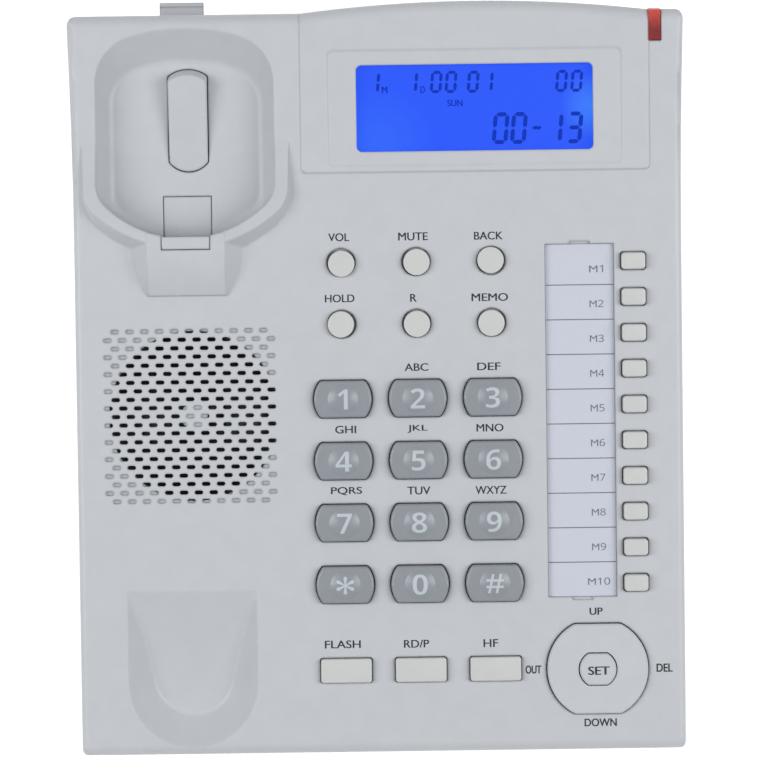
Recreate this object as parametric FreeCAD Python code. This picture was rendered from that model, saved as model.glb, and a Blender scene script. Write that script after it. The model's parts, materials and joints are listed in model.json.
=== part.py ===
import FreeCAD, Part

import math
import os

from FreeCAD import Vector

# Base unit of a corded desk telephone, in millimetres.
# Most pieces are drawn on the deck: x runs to the right, y runs up the slope to the rear,
# and z leaves the deck, whose top is z = 0. The whole is then tilted onto the table.

# Layout across the deck, from the left side to the right side
SIDE_TO_CRADLE = 32.7
CRADLE_TO_KEYS = 44.6
KEY_COLUMN_PITCH = 21.7
KEY_COLUMNS = 3
KEYS_TO_CARD = 15.6
CARD_WIDTH = 20.0
CARD_TO_MEMORY = 2.05
MEMORY_LENGTH = 6.9
MEMORY_TO_SIDE = 10.75

# Layout up the deck, from the front edge to the rear edge
FRONT_TO_FUNCTION = 24.3
FUNCTION_TO_NUMBERS = 25.05
NUMBER_ROW_PITCH = 18.0
NUMBER_ROWS = 4
NUMBERS_TO_ROUND = 21.7
ROUND_ROW_PITCH = 17.85
ROUND_TO_BEZEL = 26.1
BEZEL_LENGTH = 46.0

CASE_WIDTH = (
    SIDE_TO_CRADLE + CRADLE_TO_KEYS + KEY_COLUMN_PITCH * (KEY_COLUMNS - 1)
    + KEYS_TO_CARD + CARD_WIDTH + CARD_TO_MEMORY + MEMORY_LENGTH + MEMORY_TO_SIDE
)
CASE_LENGTH = (
    FRONT_TO_FUNCTION + FUNCTION_TO_NUMBERS + NUMBER_ROW_PITCH * (NUMBER_ROWS - 1)
    + NUMBERS_TO_ROUND + ROUND_ROW_PITCH + ROUND_TO_BEZEL + BEZEL_LENGTH
)
LEFT_X = -CASE_WIDTH / 2
RIGHT_X = CASE_WIDTH / 2
FRONT_Y = -CASE_LENGTH / 2
REAR_Y = CASE_LENGTH / 2
CRADLE_X = LEFT_X + SIDE_TO_CRADLE
KEY_COLUMN_X = CRADLE_X + CRADLE_TO_KEYS
LAST_COLUMN_X = KEY_COLUMN_X + KEY_COLUMN_PITCH * (KEY_COLUMNS - 1)
CARD_X = LAST_COLUMN_X + KEYS_TO_CARD + CARD_WIDTH / 2
MEMORY_X = CARD_X + CARD_WIDTH / 2 + CARD_TO_MEMORY + MEMORY_LENGTH / 2
FUNCTION_Y = FRONT_Y + FRONT_TO_FUNCTION
NUMBER_LOW_Y = FUNCTION_Y + FUNCTION_TO_NUMBERS
NUMBER_TOP_Y = NUMBER_LOW_Y + NUMBER_ROW_PITCH * (NUMBER_ROWS - 1)
ROUND_LOW_Y = NUMBER_TOP_Y + NUMBERS_TO_ROUND
ROUND_TOP_Y = ROUND_LOW_Y + ROUND_ROW_PITCH
BEZEL_FRONT_Y = REAR_Y - BEZEL_LENGTH

# Case
CASE_FLARE = 1.2
FLARE_LENGTH = 63.5
FLARE_START_Y = REAR_Y - FLARE_LENGTH
DECK_SLOPE = 9.0
TOP_HEIGHT = 16.0
BASE_HEIGHT = 11.0
WALL = 2.2
REAR_CORNER_R = 2.8
FRONT_CORNER_R = 2.2
REAR_EDGE_R = 3.5
FRONT_EDGE_R = 3.0
SIDE_EDGE_R = 1.8
BASE_EDGE_R = 1.5
FRONT_GAP = 1.5
SEAM_LIP_HEIGHT = 1.7
SEAM_LIP_DEPTH = 2.5
SEAM_LIP_THICKNESS = 1.1
SEAM_LIP_GAP = 0.15

# Screws that hold the two housings together
SCREW_SIDE_MARGIN = 7.2
SCREW_FRONT_MARGIN = 8.5
SCREW_PLACES = [
    (CRADLE_X - 18.7, REAR_Y - 27.5),
    (LEFT_X + SCREW_SIDE_MARGIN, FRONT_Y + SCREW_FRONT_MARGIN),
    (RIGHT_X - SCREW_SIDE_MARGIN, FRONT_Y + SCREW_FRONT_MARGIN),
    (RIGHT_X - SCREW_SIDE_MARGIN, BEZEL_FRONT_Y - 11.5),
    (KEY_COLUMN_X - 11.3, BEZEL_FRONT_Y - 14.5),
    (RIGHT_X - SCREW_SIDE_MARGIN, REAR_Y - 17.5),
]
SCREW_R = 1.4
SCREW_HEAD_R = 2.6
SCREW_HEAD_HEIGHT = 1.8
SCREW_HEAD_DEPTH = 2.0
SCREW_LENGTH = 11.0
SCREW_GAP = 0.05
BOSS_R = 3.2
BASE_BOSS_R = 4.2
BOSS_MEET_Z = -20.0
BOSS_GAP = 0.1
HEAD_RECESS_GAP = 0.4
SHANK_HOLE_GAP = 0.3

# Ear cup of the handset cradle
EAR_HALF_WIDTH = 25.8
EAR_LENGTH = 60.6
EAR_REAR_MARGIN = 3.9
EAR_REAR_Y = REAR_Y - EAR_REAR_MARGIN
EAR_FRONT_Y = EAR_REAR_Y - EAR_LENGTH
EAR_DEPTH = 8.5
EAR_FRONT_BOW_R = 33.0
EAR_REAR_BOW_R = 55.0
EAR_FRONT_CORNER_R = 9.0
EAR_REAR_CORNER_R = 14.0
EAR_SIDE_DRAFT = 3.4
EAR_REAR_DRAFT = 9.1
EAR_FLOOR_REAR_BOW_R = 48.0
EAR_FLOOR_FRONT_CORNER_R = 7.0
EAR_FLOOR_REAR_CORNER_R = 12.0
EAR_FLOOR_FILLET = 2.5

# Raised lip round the front half of the ear cup
LIP_LENGTH = 27.7
LIP_START_Y = EAR_FRONT_Y + LIP_LENGTH
LIP_HEIGHT = 5.5
LIP_SIDE_WALL = 3.5
LIP_FRONT_WALL = 3.1
LIP_BASE_SPREAD = 0.8
LIP_BASE_FRONT_SPREAD = 3.5
LIP_FRONT_BOW_R = 36.0
LIP_CORNER_R = 12.0
LIP_TAIL = 7.3
LIP_REAR_BOW_R = 200.0

# Reversible hook for wall use, and the block of the lip that holds it
HOOK_WIDTH = 13.8
HOOK_PLATE_THICKNESS = 3.6
HOOK_PLATE_SETBACK = 3.15
HOOK_PLATE_Y = EAR_FRONT_Y - HOOK_PLATE_SETBACK
HOOK_TONGUE_LENGTH = 11.6
HOOK_TONGUE_THICKNESS = 2.0
HOOK_GAP = 0.2
BLOCK_HALF_WIDTH = 11.2
BLOCK_LENGTH = 16.6
BLOCK_FRONT_Y = EAR_FRONT_Y - BLOCK_LENGTH
BLOCK_PEAK_Y = EAR_FRONT_Y - 3.0
BLOCK_REAR_Y = EAR_FRONT_Y + 1.5
BLOCK_HEIGHT = 5.9
BLOCK_TOE_HEIGHT = 0.9
BLOCK_SPREAD = 0.95
BLOCK_SECTIONS = 5

# Hook-switch lever
LEVER_X = CRADLE_X + 0.6
LEVER_HALF_WIDTH = 5.6
LEVER_LENGTH = 28.1
EAR_FRONT_TO_LEVER = 19.4
LEVER_FRONT_Y = EAR_FRONT_Y + EAR_FRONT_TO_LEVER
LEVER_REAR_Y = LEVER_FRONT_Y + LEVER_LENGTH
LEVER_FRONT_BOW_R = 7.0
LEVER_REAR_BOW_R = 9.0
LEVER_CORNER_R = 1.0
LEVER_RISE = 5.3
LEVER_FRONT_STEP = 0.15
LEVER_EDGE_R = 0.7
LEVER_WALL = 1.5
LEVER_GAP = 0.3
TRUNNION_R = 1.5
LEVER_PIVOT_Y = LEVER_FRONT_Y + 2.2
LEVER_PIVOT_Z = -EAR_DEPTH - WALL - TRUNNION_R - 0.8
LEVER_BOTTOM_Z = LEVER_PIVOT_Z - 2 * TRUNNION_R
LEVER_TRAVEL = 11.0
TRUNNION_LENGTH = 2.2
TRUNNION_FIT = 0.05
CHEEK_THICKNESS = 2.0
CHEEK_GAP = 0.4

# Mouth cup of the handset cradle: a round-ended trough whose floor is an arc
MOUTH_R = 18.9
MOUTH_FRONT_MARGIN = 2.2
MOUTH_CENTRE_Y = FRONT_Y + MOUTH_FRONT_MARGIN + MOUTH_R
MOUTH_DRAFT = 1.05
MOUTH_START_Y = MOUTH_CENTRE_Y + 26.9
MOUTH_END_Y = MOUTH_CENTRE_Y - 10.6
MOUTH_DEPTH = 8.3
MOUTH_FLOOR_R = 142.0
MOUTH_FLOOR_FILLET = 1.2

# Speaker grille: rows of slots, open over the speaker and blind round it
GRILLE_X = CRADLE_X + 0.3
GRILLE_Y = EAR_FRONT_Y - 51.55
GRILLE_ROWS = 21
GRILLE_ROW_PITCH = 2.467
GRILLE_SLOT_PITCH = 4.31
GRILLE_SHORT_ROW = 11
SLOT_LENGTH = 2.5
SLOT_WIDTH = 1.2
SLOT_CORNER = 0.4
SLOT_DEPTH = 1.0
SPEAKER_X = GRILLE_X + 1.15
SPEAKER_Y = GRILLE_Y
SPEAKER_OPENING_R = 24.7
GRILLE_POST_R = 3.9

# Speaker
SPEAKER_R = 28.5
SPEAKER_RIM = 2.0
SPEAKER_DEPTH = 16.5
MAGNET_R = 15.0
MAGNET_DEPTH = 7.0
SPEAKER_CONE_R = 24.0
SPEAKER_CAP_R = 7.0
SPEAKER_CONE_DEPTH = 6.0
SPEAKER_RING_GAP = 0.25
SPEAKER_RING_WALL = 1.5

# Keys: caps stand in holes of the deck with KEY_GAP all round, each with a flange under the deck
KEY_GAP = 0.35
KEY_TRAVEL = 1.2
FLANGE_GAP = 0.15
FLANGE_THICKNESS = 1.0
FLANGE_LIP = 1.2
STEM_HALF = 2.0
STEM_LENGTH = 0.85

NUMBER_KEYS = [
    ["key_1", "key_2", "key_3"],
    ["key_4", "key_5", "key_6"],
    ["key_7", "key_8", "key_9"],
    ["key_star", "key_0", "key_hash"],
]
NUMBER_R = 8.35
NUMBER_HALF_HEIGHT = 5.3
NUMBER_CORNER_R = 1.2
NUMBER_HEIGHT = 2.4
NUMBER_CHAMFER = 0.6
DOME_R = 4.4
DOME_HEIGHT = 0.8

ROUND_BUTTONS = [
    ["volume_button", "mute_button", "back_button"],
    ["hold_button", "recall_button", "memo_button"],
]
ROUND_R = 3.9
ROUND_HEIGHT = 1.9

FUNCTION_KEYS = ["flash_key", "redial_key", "handsfree_key"]
FUNCTION_LENGTH = 14.6
FUNCTION_DEPTH = 6.8
FUNCTION_CORNER_R = 0.8
FUNCTION_HEIGHT = 1.9

MEMORY_KEY_COUNT = 10
MEMORY_PITCH = 10.38
RING_TO_MEMORY = 25.0
MEMORY_DEPTH = 4.8
MEMORY_CORNER_R = 1.0
MEMORY_HEIGHT = 2.4
MEMORY_FLANGE_LIP = 0.9
SMALL_CHAMFER = 0.4

# Navigation ring with its SET button
NAV_X = CARD_X + 4.05
NAV_Y = FUNCTION_Y - 0.4
NAV_R = 14.65
NAV_HALF_HEIGHT = 13.05
NAV_CORNER_R = 2.5
NAV_HEIGHT = 1.6
NAV_FLANGE_LIP = 1.2
NAV_POCKET_R = 8.0
NAV_PIVOT_Z = -3.0
NAV_POCKET_RISE = 0.4
NAV_TILT = 3.0
NAV_TILT_BOTH_WAYS = 1.5
PIVOT_R = 6.5
PIVOT_BORE_R = 3.6
PIVOT_GAP = 0.4
SET_R = 5.3
SET_HALF_HEIGHT = 4.55
SET_CORNER_R = 1.0
SET_HEIGHT = 2.5
SET_STEM_R = 2.8

# Keypad membrane and main board under the keys
DOME_PAD_BASE_R = 3.0
DOME_PAD_TOP_R = 2.2
DOME_PAD_SIDES = 8
DOME_PAD_SQUASH = 0.5
MEMBRANE_THICKNESS = 1.0
MEMBRANE_LEFT_X = KEY_COLUMN_X - 9.3
MEMBRANE_RIGHT_X = RIGHT_X - 9.4
MEMBRANE_FRONT_Y = FRONT_Y + 8.0
MEMBRANE_REAR_Y = ROUND_TOP_Y + 8.1
BOARD_MARGIN = 1.0
BOARD_THICKNESS = 1.6
POST_PLACES = [
    (KEY_COLUMN_X + KEY_COLUMN_PITCH / 2, ROUND_TOP_Y - ROUND_ROW_PITCH / 2),
    (LAST_COLUMN_X - KEY_COLUMN_PITCH / 2, ROUND_TOP_Y - ROUND_ROW_PITCH / 2),
    (LAST_COLUMN_X + KEYS_TO_CARD - 3.1, NUMBER_TOP_Y + NUMBER_ROW_PITCH / 2),
    (LAST_COLUMN_X + KEYS_TO_CARD - 3.1, NUMBER_TOP_Y - NUMBER_ROW_PITCH * 3 / 2),
    (KEY_COLUMN_X + KEY_COLUMN_PITCH / 2, FUNCTION_Y + FUNCTION_TO_NUMBERS / 2),
    (LAST_COLUMN_X - KEY_COLUMN_PITCH / 2, FUNCTION_Y + FUNCTION_TO_NUMBERS / 2),
]
POST_R = 1.8
POST_HOLE_GAP = 0.4

# Index card under its clear cover
CARD_END_MARGIN = 4.6
CARD_REAR_SHIFT = 0.5
CARD_THICKNESS = 0.25
COVER_THICKNESS = 1.0
COVER_GAP = 0.15
CARD_POCKET_DEPTH = 1.5
CARD_FLOOR_THICKNESS = 1.0
CARD_FLOOR_MARGIN = 0.3
NOTCH_HALF_WIDTH = 3.0
NOTCH_DEPTH = 0.8

# Display bezel, window and module
BEZEL_LEFT_X = KEY_COLUMN_X - 11.0
BEZEL_RIGHT_X = RIGHT_X - 9.2
BEZEL_BOW = 3.1
BEZEL_THICKNESS = 2.2
BEZEL_SKIRT_Z = -12.0
BEZEL_CORNER_R = 1.5
SEAM_GAP = 0.2
TRAY_THICKNESS = 2.2
TRAY_LEDGE = 1.6
RECESS_SIDE_MARGIN = 7.7
RECESS_LEFT_X = BEZEL_LEFT_X + RECESS_SIDE_MARGIN
RECESS_RIGHT_X = BEZEL_RIGHT_X - RECESS_SIDE_MARGIN
RECESS_FRONT_Y = BEZEL_FRONT_Y + 1.5
RECESS_REAR_Y = REAR_Y - 10.8
RECESS_DEPTH = 0.5
RECESS_FRONT_DEPTH = 0.1
RECESS_CORNER_R = 2.0
RECESS_SLOPE = 0.45
WINDOW_X = (BEZEL_LEFT_X + BEZEL_RIGHT_X) / 2
WINDOW_Y = (RECESS_FRONT_Y + RECESS_REAR_Y) / 2
WINDOW_WIDTH = 68.2
WINDOW_HEIGHT = 24.9
WINDOW_CORNER_R = 1.6
WINDOW_SINK = 0.3
WINDOW_FLANGE = 1.8
WINDOW_FLANGE_THICKNESS = 1.0
WINDOW_GAP = 0.1
LCD_WIDTH = 74.0
LCD_HEIGHT = 30.0
LCD_THICKNESS = 3.6
DISPLAY_BOARD_Z = -9.6
DISPLAY_BOARD_LEFT_X = BEZEL_LEFT_X + 7.7
DISPLAY_BOARD_RIGHT_X = RIGHT_X - 4.0
DISPLAY_BOARD_FRONT_Y = BEZEL_FRONT_Y + 1.5
DISPLAY_BOARD_REAR_Y = REAR_Y - 4.5

# Red indicator lens at the bezel's right-hand rear corner, and the LED under it
LENS_WIDTH = 3.4
LENS_LENGTH = 9.1
LENS_FRONT_Y = REAR_Y - LENS_LENGTH
LENS_PROUD = 0.3
LENS_LEG_Z = -8.0
LENS_THICKNESS = 2.2
LED_R = 1.5
LED_Y = REAR_Y - 6.2
LED_TOP_Z = -3.2

# Battery compartment for three AAA cells
CELL_R = 5.25
CELL_LENGTH = 44.5
CELL_NUB_R = 1.9
CELL_NUB_LENGTH = 0.8
CELL_COUNT = 3
CELL_PITCH = 11.0
CELL_GAP = 0.3
BATTERY_X = RIGHT_X - 59.0
BATTERY_Y = FRONT_Y + 44.5
CONTACT_SPACE = 2.6
CONTACT_THICKNESS = 0.4
WELL_WALL = 2.2
DOOR_LEDGE = 1.0
DOOR_THICKNESS = 2.0
DOOR_GAP = 0.3
DOOR_SWING = 25.0
DOOR_TAB_WIDTH = 7.0
DOOR_TAB_THICKNESS = 1.2
DOOR_TAB_REACH = 1.8
DOOR_TAB_ROOT = 2.0
DOOR_TAB_X = 14.0
DOOR_TAB_RISE = 1.2
DOOR_HINGE_LIFT = 0.1
GRIP_R = 9.0
GRIP_DEPTH = 0.8
GRIP_SETBACK = 6.0

# Line jack in the rear wall and handset jack in the left wall
LINE_JACK_X = RIGHT_X - 48.0
LINE_JACK_WIDTH = 12.6
LINE_SOCKET_WIDTH = 9.8
HANDSET_JACK_Y = FRONT_Y + 31.5
HANDSET_JACK_WIDTH = 10.8
HANDSET_SOCKET_WIDTH = 7.9
JACK_HEIGHT = 8.0
JACK_DEPTH = 14.0
SOCKET_HEIGHT = 6.4
SOCKET_DEPTH = 11.5
SOCKET_LATCH_WIDTH = 3.4
JACK_SETBACK = 0.3
JACK_GAP = 0.15

# Microphone behind the front wall
MIC_X = 0.0
MIC_R = 2.0
MIC_DEPTH = 2.8
MIC_BOOT_WALL = 0.8
MIC_HOLE_R = 0.6
MIC_GAP = 0.3

# Switch and leaf spring under the lever
SWITCH_HALF_WIDTH = 3.0
SWITCH_FRONT_Y = LEVER_FRONT_Y + 14.6
SWITCH_LENGTH = 10.0
SWITCH_HEIGHT = 4.2
PLUNGER_R = 0.8
PLUNGER_HEIGHT = 0.7
SPRING_WIDTH = 4.0
SPRING_THICKNESS = 0.4
SPRING_FOOT_Y = LEVER_FRONT_Y + 3.6
SPRING_FOOT_LENGTH = 6.0
SPRING_REACH = 4.0
SPRING_TIP_Y = SPRING_FOOT_Y + SPRING_FOOT_LENGTH + SPRING_REACH

# Desk stand: a hollow wedge that hooks in at its front and clips at its rear
STAND_HALF_WIDTH = CASE_WIDTH / 2 - 13.0
STAND_LENGTH = 105.0
STAND_REAR_MARGIN = 3.4
STAND_CORNER_R = 6.0
STAND_FLOOR = 2.4
STAND_GAP = 0.2
STAND_SWING = 25.0
STAND_RIB_X = 36.0
LUG_X = STAND_HALF_WIDTH - 25.0
LUG_WIDTH = 8.0
LUG_THICKNESS = 2.0
LUG_HEIGHT = 4.0
LUG_NOSE = 1.4
LUG_NOSE_GAP = 0.3
LUG_SLOT_GAP = 0.3
TAB_X = LEVER_X
TAB_WIDTH = 13.0
TAB_LENGTH = 9.0
TAB_THICKNESS = 2.0
TAB_DROP = 0.9
TAB_RIB = 1.2
TAB_SLIT = 1.2
KEYHOLE_PITCH = 82.6
KEYHOLE_FRONT_MARGIN = 10.0
KEYHOLE_R = 4.75
KEYHOLE_SLOT_R = 2.4
KEYHOLE_SLOT_LENGTH = 8.0

# Rubber feet
FOOT_R = 6.0
FOOT_RECESS = 0.8
FOOT_GAP = 0.1
FRONT_FOOT_X = RIGHT_X - 18.0
FRONT_FOOT_Y = FRONT_Y + 13.5
STAND_FOOT_X = STAND_HALF_WIDTH - 15.0
STAND_FOOT_MARGIN = 12.0
STAND_FOOT_HEIGHT = 1.5

CASE_HEIGHT = TOP_HEIGHT + BASE_HEIGHT
CASE_BOTTOM_Z = -CASE_HEIGHT
BASE_FLOOR_Z = CASE_BOTTOM_Z + WALL
SLOPE = math.radians(DECK_SLOPE)
DECK_LIFT = CASE_LENGTH / 2 * math.sin(SLOPE) + CASE_HEIGHT * math.cos(SLOPE) + FRONT_GAP
FLANGE_TOP_Z = -WALL - FLANGE_GAP
STEM_END_Z = FLANGE_TOP_Z - FLANGE_THICKNESS - STEM_LENGTH
MEMBRANE_TOP_Z = STEM_END_Z - KEY_TRAVEL / DOME_PAD_SQUASH
BOARD_TOP_Z = MEMBRANE_TOP_Z - MEMBRANE_THICKNESS
CASE_REAR_TABLE_Y = REAR_Y * math.cos(SLOPE) - CASE_BOTTOM_Z * math.sin(SLOPE)
STAND_REAR_Y = CASE_REAR_TABLE_Y - STAND_REAR_MARGIN
STAND_FRONT_Y = STAND_REAR_Y - STAND_LENGTH
STAND_FOOT_Y = STAND_REAR_Y - STAND_FOOT_MARGIN
KEYHOLE_FRONT_Y = STAND_FRONT_Y + KEYHOLE_FRONT_MARGIN
MEMORY_LOW_Y = NAV_Y + RING_TO_MEMORY
MEMORY_TOP_Y = MEMORY_LOW_Y + MEMORY_PITCH * (MEMORY_KEY_COUNT - 1)
CARD_LENGTH = MEMORY_TOP_Y - MEMORY_LOW_Y + 2 * CARD_END_MARGIN
CARD_Y = (MEMORY_LOW_Y + MEMORY_TOP_Y) / 2 + CARD_REAR_SHIFT
OUTSIDE = 40.0


def box(x0, x1, y0, y1, z0, z1):
    return Part.makeBox(x1 - x0, y1 - y0, z1 - z0, Vector(x0, y0, z0))


def column(x, y, radius, z0, z1):
    return Part.makeCylinder(radius, z1 - z0, Vector(x, y, z0))


def upright_edges(solid):
    """Edges that run along z."""
    found = []
    for edge in solid.Edges:
        size = edge.BoundBox
        if size.XLength < 1e-6 and size.YLength < 1e-6:
            found.append(edge)
    return found


def level_edges(solid, z):
    """Edges that lie in the plane z."""
    return [e for e in solid.Edges if abs(e.BoundBox.ZMin - z) < 1e-5 and abs(e.BoundBox.ZMax - z) < 1e-5]


def rounded_box(x0, x1, y0, y1, z0, z1, radius):
    block = box(x0, x1, y0, y1, z0, z1)
    return block.makeFillet(radius, upright_edges(block))


def highest_face(solid):
    return max(solid.Faces, key=lambda face: face.CenterOfMass.z)


def flattened_disc(x, y, radius, half_height, corner, z0, z1):
    """A disc cut off straight at the front and rear, with its corners rounded."""
    disc = column(x, y, radius, z0, z1).common(
        box(x - radius - 1, x + radius + 1, y - half_height, y + half_height, z0 - 1, z1 + 1)
    )
    corners = [e for e in upright_edges(disc) if abs(abs(e.BoundBox.YMin - y) - half_height) < 1e-5]
    return disc.makeFillet(corner, corners)


def prism_along_x(points, x0, x1):
    """A prism whose section is the outline of (y, z) points."""
    outline = [Vector(x0, y, z) for y, z in points]
    return Part.Face(Part.makePolygon(outline + outline[:1])).extrude(Vector(x1 - x0, 0, 0))


def prism_along_y(points, y0, y1):
    """A prism whose section is the outline of (x, z) points."""
    outline = [Vector(x, y0, z) for x, z in points]
    return Part.Face(Part.makePolygon(outline + outline[:1])).extrude(Vector(0, y1 - y0, 0))


def onto_table(shape):
    """Tilts a shape drawn on the deck to its slope above the table."""
    return shape.rotated(Vector(0, 0, 0), Vector(1, 0, 0), DECK_SLOPE).translated(Vector(0, 0, DECK_LIFT))


def table_point(y, z):
    """Where a deck point (y, z) stands over the table."""
    return (
        y * math.cos(SLOPE) - z * math.sin(SLOPE),
        y * math.sin(SLOPE) + z * math.cos(SLOPE) + DECK_LIFT,
    )


def case_outline(inset):
    """Plan of the case as a face, moved in by inset. Its sides swing out towards the rear."""
    half = CASE_WIDTH / 2 - inset
    front = -CASE_LENGTH / 2 + inset
    rear = CASE_LENGTH / 2 - inset
    run = CASE_LENGTH / 2 - FLARE_START_Y
    swing_r = (run**2 + CASE_FLARE**2) / (2 * CASE_FLARE)
    turn = math.asin((rear - FLARE_START_Y) / swing_r)

    def swing(side, angle):
        x = half + swing_r * (1 - math.cos(angle))
        return Vector(side * x, FLARE_START_Y + swing_r * math.sin(angle), 0)

    corners = [Vector(-half, FLARE_START_Y, 0), Vector(-half, front, 0), Vector(half, front, 0), swing(1, 0)]
    edges = [Part.makeLine(a, b) for a, b in zip(corners, corners[1:])]
    edges.append(Part.Arc(swing(1, 0), swing(1, turn / 2), swing(1, turn)).toShape())
    edges.append(Part.makeLine(swing(1, turn), swing(-1, turn)))
    edges.append(Part.Arc(swing(-1, turn), swing(-1, turn / 2), swing(-1, 0)).toShape())
    return Part.Face(Part.Wire(edges))


def case_prism(inset, z0, z1):
    return case_outline(inset).translated(Vector(0, 0, z0)).extrude(Vector(0, 0, z1 - z0))


def case_solid():
    """The outer form of both housings together."""
    body = case_prism(0, CASE_BOTTOM_Z, 0)
    half_length = CASE_LENGTH / 2
    rear = [e for e in upright_edges(body) if e.BoundBox.YMin > half_length - 1]
    front = [e for e in upright_edges(body) if e.BoundBox.YMax < 1 - half_length]
    body = body.makeFillet(REAR_CORNER_R, rear)
    front = [e for e in upright_edges(body) if e.BoundBox.YMax < 1 - half_length]
    body = body.makeFillet(FRONT_CORNER_R, front)
    body = body.makeFillet(SIDE_EDGE_R, level_edges(body, 0))
    body = body.makeFillet(BASE_EDGE_R, level_edges(body, CASE_BOTTOM_Z))

    half_width = CASE_WIDTH / 2 + CASE_FLARE + 1
    side_form = box(-half_width, half_width, -half_length, half_length, CASE_BOTTOM_Z - 1, 0)
    top_edges = [e for e in level_edges(side_form, 0) if e.BoundBox.YLength < 1e-6]
    rear_edge = [e for e in top_edges if e.BoundBox.YMin > 0]
    side_form = side_form.makeFillet(REAR_EDGE_R, rear_edge)
    top_edges = [e for e in level_edges(side_form, 0) if e.BoundBox.YLength < 1e-6]
    front_edge = [e for e in top_edges if e.BoundBox.YMax < -half_length + 1e-3]
    side_form = side_form.makeFillet(FRONT_EDGE_R, front_edge)
    return body.common(side_form)


def bowed_outline(x, half_width, front_y, front_bow, rear_y, rear_bow, front_corner, rear_corner, z):
    """A four-sided outline with straight sides, bowed ends and rounded corners, as a wire at z."""
    front_side = front_y + front_bow - math.sqrt(front_bow**2 - half_width**2)
    rear_side = rear_y - rear_bow + math.sqrt(rear_bow**2 - half_width**2)
    front_left = Vector(x - half_width, front_side, z)
    front_right = Vector(x + half_width, front_side, z)
    rear_left = Vector(x - half_width, rear_side, z)
    rear_right = Vector(x + half_width, rear_side, z)
    wire = Part.Wire([
        Part.Arc(front_left, Vector(x, front_y, z), front_right).toShape(),
        Part.makeLine(front_right, rear_right),
        Part.Arc(rear_right, Vector(x, rear_y, z), rear_left).toShape(),
        Part.makeLine(rear_left, front_left),
    ])
    slab = Part.Face(wire).extrude(Vector(0, 0, 1))
    front_edges = [e for e in upright_edges(slab) if abs(e.BoundBox.YMin - front_side) < 1e-5]
    slab = slab.makeFillet(front_corner, front_edges)
    rear_edges = [e for e in upright_edges(slab) if abs(e.BoundBox.YMin - rear_side) < 1e-5]
    slab = slab.makeFillet(rear_corner, rear_edges)
    underside = [f for f in slab.Faces if abs(f.BoundBox.ZMax - z) < 1e-5]
    return underside[0].OuterWire


def solid_from(wire, z_length):
    return Part.Face(wire).extrude(Vector(0, 0, z_length))


def ear_rim(grow, z):
    return bowed_outline(
        CRADLE_X, EAR_HALF_WIDTH + grow, EAR_FRONT_Y - grow, EAR_FRONT_BOW_R + grow,
        EAR_REAR_Y + grow, EAR_REAR_BOW_R + grow, EAR_FRONT_CORNER_R + grow, EAR_REAR_CORNER_R + grow, z,
    )


def ear_floor(grow, z):
    return bowed_outline(
        CRADLE_X, EAR_HALF_WIDTH - EAR_SIDE_DRAFT + grow, EAR_FRONT_Y - grow, EAR_FRONT_BOW_R + grow,
        EAR_REAR_Y - EAR_REAR_DRAFT + grow, EAR_FLOOR_REAR_BOW_R + grow,
        EAR_FLOOR_FRONT_CORNER_R + grow, EAR_FLOOR_REAR_CORNER_R + grow, z,
    )


def ear_bowl(grow):
    """The ear cup's hollow below the deck, grown by grow on its sides and floor."""
    floor_z = -EAR_DEPTH - grow
    return Part.makeLoft([ear_floor(grow, floor_z), ear_rim(grow, 0)], True, True)


def ear_hollow():
    """The whole space of the ear cup, up through the raised lip."""
    bowl = ear_bowl(0)
    bowl = bowl.makeFillet(EAR_FLOOR_FILLET, level_edges(bowl, -EAR_DEPTH))
    return bowl.fuse(solid_from(ear_rim(0, 0), OUTSIDE))


def lip_outline(front_spread, side_spread, z):
    return bowed_outline(
        CRADLE_X, EAR_HALF_WIDTH + LIP_SIDE_WALL + side_spread,
        EAR_FRONT_Y - LIP_FRONT_WALL - front_spread, LIP_FRONT_BOW_R + front_spread,
        LIP_START_Y + LIP_TAIL, LIP_REAR_BOW_R, LIP_CORNER_R + side_spread, 1.0, z,
    )


def lip_slope():
    return LIP_HEIGHT / (LIP_START_Y - EAR_FRONT_Y)


def raised_lip():
    """The rim that rises towards the front of the ear cup, with its drafted outer wall."""
    sink = 0.5
    foot = lip_outline(LIP_BASE_FRONT_SPREAD, LIP_BASE_SPREAD, -sink)
    crown = lip_outline(0, 0, LIP_HEIGHT)
    body = Part.makeLoft([foot, crown], True, True)
    low_y = BLOCK_FRONT_Y
    above = prism_along_x(
        [
            (low_y, (LIP_START_Y - low_y) * lip_slope()),
            (LIP_START_Y, 0),
            (LIP_START_Y + 2 * LIP_TAIL, 0),
            (LIP_START_Y + 2 * LIP_TAIL, OUTSIDE),
            (low_y, OUTSIDE),
        ],
        CRADLE_X - OUTSIDE,
        CRADLE_X + OUTSIDE,
    )
    return body.cut(above)


def block_height(y):
    """Height of the hook block over the deck: level at its peak, falling to a low toe."""
    reach = (BLOCK_PEAK_Y - y) / (BLOCK_PEAK_Y - BLOCK_FRONT_Y)
    return BLOCK_TOE_HEIGHT + (BLOCK_HEIGHT - BLOCK_TOE_HEIGHT) * (1 - reach**2)


def hook_block():
    """The block in front of the lip, with spreading sides, that the hook slides in."""
    sink = 0.5
    sections = []
    for step in range(BLOCK_SECTIONS):
        y = BLOCK_REAR_Y + (BLOCK_FRONT_Y - BLOCK_REAR_Y) * step / (BLOCK_SECTIONS - 1)
        top = block_height(y)
        base_half = BLOCK_HALF_WIDTH + BLOCK_SPREAD * top
        corners = [
            Vector(CRADLE_X - base_half, y, -sink),
            Vector(CRADLE_X + base_half, y, -sink),
            Vector(CRADLE_X + BLOCK_HALF_WIDTH, y, top),
            Vector(CRADLE_X - BLOCK_HALF_WIDTH, y, top),
        ]
        sections.append(Part.makePolygon(corners + corners[:1]))
    return Part.makeLoft(sections, True, False)


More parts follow.
